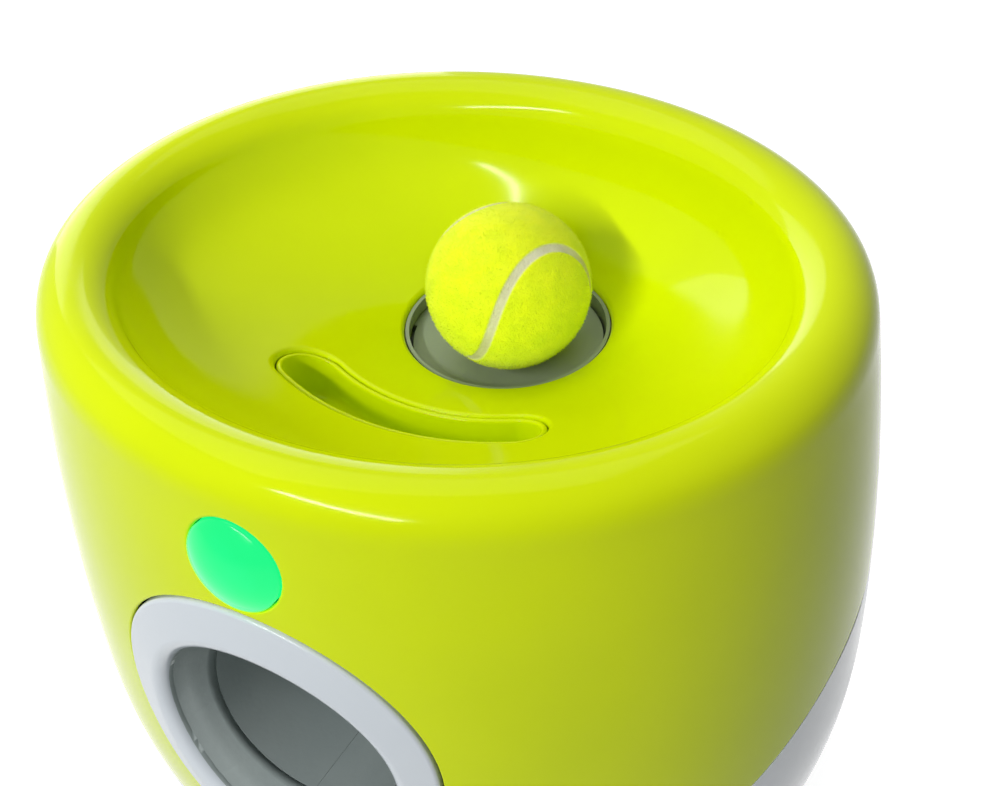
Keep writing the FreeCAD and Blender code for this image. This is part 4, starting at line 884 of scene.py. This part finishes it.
def felt_finish():
    """Felt, and the off-white rubber that shows in the seam between its strips."""
    material, tree, shader = new_material("felt")
    cloth = tree.nodes.new("ShaderNodeAttribute")
    cloth.attribute_name = "cloth"
    felt = drift(tree, (244, 255, 4), (232, 248, 0), 160)
    seam = drift(tree, (226, 224, 196), (206, 203, 170), 90)
    tree.links.new(mix_of(tree, cloth.outputs["Fac"], seam, felt), shader.inputs["Base Color"])
    add_grain(tree, shader, 1500, 0.3)
    add_marks(tree, shader, 0.8, 0.95, 200)
    shader.inputs["Sheen Weight"].default_value = 0.1
    return material


def lens_finish():
    """Green window that is lit from behind, a little brighter in the middle and rippled."""
    ripples_per_metre, ripple_share = 190.0, 0.35
    material, tree, shader = new_material("green_lens")
    where = tree.nodes.new("ShaderNodeTexCoord")
    spread = tree.nodes.new("ShaderNodeVectorMath")
    spread.operation = "DISTANCE"
    spread.inputs[1].default_value = tuple((BREECH + LIFT * lens_lift + LAUNCH * lens_seat) * MM)
    tree.links.new(where.outputs["Object"], spread.inputs[0])
    ramp = tree.nodes.new("ShaderNodeValToRGB")
    for element, place, glow in zip(ramp.color_ramp.elements, (0.0, 1.0), ((20, 250, 146), (16, 246, 134))):
        element.position = place
        element.color = linear(glow)
    nearness = tree.nodes.new("ShaderNodeMapRange")
    nearness.inputs["From Max"].default_value = lens_radius * MM
    tree.links.new(spread.outputs["Value"], nearness.inputs["Value"])
    ripples = tree.nodes.new("ShaderNodeTexVoronoi")
    ripples.inputs["Scale"].default_value = ripples_per_metre
    tree.links.new(where.outputs["Object"], ripples.inputs["Vector"])
    uneven = tree.nodes.new("ShaderNodeMath")
    uneven.operation = "MULTIPLY_ADD"
    uneven.inputs[1].default_value = ripple_share
    tree.links.new(ripples.outputs["Distance"], uneven.inputs[0])
    tree.links.new(nearness.outputs["Result"], uneven.inputs[2])
    tree.links.new(uneven.outputs[0], ramp.inputs["Fac"])
    tree.links.new(ramp.outputs["Color"], shader.inputs["Emission Color"])
    tree.links.new(drift(tree, (10, 60, 34), (8, 50, 28), 60), shader.inputs["Base Color"])
    add_marks(tree, shader, 0.08, 0.14, 60)
    shader.inputs["Specular IOR Level"].default_value = 0.2
    shader.inputs["Emission Strength"].default_value = 1.0
    return material


def finish_of(name):
    """The finish for a material slot, made when it is first asked for."""
    if name not in finishes:
        special = {"felt": felt_finish, "green_lens": lens_finish}
        finishes[name] = special[name]() if name in special else plain_finish(name)
    return finishes[name]


# --- Pieces kept as they were cut and moulded -------------------------------------------------
def finish_kept_pieces():
    """Gives every piece of the frame its finish, those that are remade above among them."""
    for part in frame["record"]["subparts"]:
        piece = frame["nodes"][part["node"]]
        piece.data.materials.clear()
        piece.data.materials.append(finish_of(part["material_slot"]))


# --- Light, floor and camera ------------------------------------------------------------------
view_turn = math.radians(29.5)
view_rise = math.radians(39.6)
view_roll = math.radians(-3.5)
view_distance = 422.0
lens_length = 49.8
view_aside = 12.5
view_level = 172.5

# Lamps round a point in the launcher's middle, as the camera's side sees them: the way to the
# lamp (right, nearer, up) and how many times that it stands off in metres, then its watts, its
# size in metres and the way its long side lies.
lamp_aim = Vector((0, 0, 0.2))
LAMPS = (
    ("window_lamp", (-0.5, 0.65, 0.55), 1.2, 10.0, (0.7, 0.05), (0.3, 0.44, -0.23)),
    ("ceiling_lamp", (-0.2, -0.3, 0.92), 1.3, 7.0, (1.3, 1.1), (1, 0, 0)),
    ("rear_lamp", (-0.35, -0.9, 0.25), 1.4, 8.0, (1.0, 0.9), (1, 0, 0)),
)
room_light = 0.2
backdrop_light = 1.0
floor_radius = 3.0
floor_glow = 0.88


def add_camera():
    """Camera in front, to the launcher's left and above; returns the way to the view's right."""
    back = Vector((math.sin(view_turn) * math.cos(view_rise), -math.cos(view_turn) * math.cos(view_rise),
                   math.sin(view_rise)))
    level_right = Vector((math.cos(view_turn), math.sin(view_turn), 0))
    level_up = back.cross(level_right)
    right = level_right * math.cos(view_roll) + level_up * math.sin(view_roll)
    up = level_up * math.cos(view_roll) - level_right * math.sin(view_roll)
    target = level_right * view_aside + Vector((0, 0, view_level))
    camera = bpy.data.objects.new("camera", bpy.data.cameras.new("camera"))
    camera.data.sensor_width = 36.0
    camera.data.lens = lens_length
    camera.data.clip_start = 0.01
    bpy.context.scene.collection.objects.link(camera)
    turn = Matrix((right, up, back)).transposed().to_4x4()
    camera.matrix_world = Matrix.Translation((target + back * view_distance) * MM) @ turn
    bpy.context.scene.camera = camera
    return level_right


def add_lamp(level_right, name, place, distance, power, size, along):
    """Flat lamp that faces the launcher, with its long side along the given way."""
    level_near = level_right.cross(Vector((0, 0, 1)))

    def seen_way(right, near, up):
        return level_right * right + level_near * near + Vector((0, 0, up))

    lamp = bpy.data.objects.new(name, bpy.data.lights.new(name, "AREA"))
    lamp.data.shape = "RECTANGLE"
    lamp.data.size, lamp.data.size_y = size
    lamp.data.energy = power
    back = seen_way(*place).normalized()
    along = seen_way(*along)
    side = (along - back * back.dot(along)).normalized()
    turn = Matrix((side, back.cross(side), back)).transposed().to_4x4()
    lamp.matrix_world = Matrix.Translation(lamp_aim + distance * seen_way(*place)) @ turn
    bpy.context.scene.collection.objects.link(lamp)


def seen_by(tree, *kinds):
    """One where the ray is of any of these kinds, and otherwise nothing."""
    rays = tree.nodes.new("ShaderNodeLightPath")
    seen = rays.outputs[kinds[0]]
    for kind in kinds[1:]:
        either = tree.nodes.new("ShaderNodeMath")
        either.operation = "MAXIMUM"
        tree.links.new(seen, either.inputs[0])
        tree.links.new(rays.outputs[kind], either.inputs[1])
        seen = either.outputs[0]
    return seen


def mix_shaders(tree, share, first, second, socket):
    mix = tree.nodes.new("ShaderNodeMixShader")
    for index, output in enumerate((share, first, second)):
        tree.links.new(output, mix.inputs[index])
    tree.links.new(mix.outputs[0], socket)


def add_world():
    """Weak even light from all round, and a white backdrop for the camera and reflections."""
    world = bpy.data.worlds.new("studio")
    bpy.context.scene.world = world
    world.use_nodes = True
    tree = world.node_tree
    plain = tree.nodes["Background"]
    plain.inputs["Color"].default_value = (1, 1, 1, 1)
    plain.inputs["Strength"].default_value = room_light
    backdrop = tree.nodes.new("ShaderNodeBackground")
    backdrop.inputs["Strength"].default_value = backdrop_light
    seen = seen_by(tree, "Is Camera Ray", "Is Glossy Ray", "Is Transmission Ray")
    end = tree.nodes["World Output"].inputs["Surface"]
    mix_shaders(tree, seen, plain.outputs[0], backdrop.outputs[0], end)


def add_floor():
    """Wide floor that looks white but throws no light of its own on the launcher."""
    floor_net = bmesh.new()
    bmesh.ops.create_circle(floor_net, cap_ends=True, segments=96, radius=floor_radius)
    mesh = bpy.data.meshes.new("floor")
    floor_net.to_mesh(mesh)
    floor_net.free()
    floor = bpy.data.objects.new("floor", mesh)
    bpy.context.scene.collection.objects.link(floor)
    material, tree, shader = new_material("floor_paint")
    tree.links.new(drift(tree, (158, 158, 158), (154, 154, 154), 2), shader.inputs["Base Color"])
    shader.inputs["Roughness"].default_value = 0.9
    shader.inputs["Specular IOR Level"].default_value = 0.1
    glow = tree.nodes.new("ShaderNodeEmission")
    glow.inputs["Color"].default_value = (1, 1, 1, 1)
    glow.inputs["Strength"].default_value = floor_glow
    both = tree.nodes.new("ShaderNodeAddShader")
    tree.links.new(shader.outputs[0], both.inputs[0])
    tree.links.new(glow.outputs[0], both.inputs[1])
    seen = seen_by(tree, "Is Camera Ray", "Is Glossy Ray")
    end = tree.nodes["Material Output"].inputs["Surface"]
    mix_shaders(tree, seen, shader.outputs[0], both.outputs[0], end)
    mesh.materials.append(material)


# --- Everything together ----------------------------------------------------------------------
finish_kept_pieces()
top_cover()
outlet_ring()
ready_window()
slot_tub()
plunger_spring()
felt_ball()
level_right = add_camera()
add_world()
add_floor()
for lamp in LAMPS:
    add_lamp(level_right, *lamp)
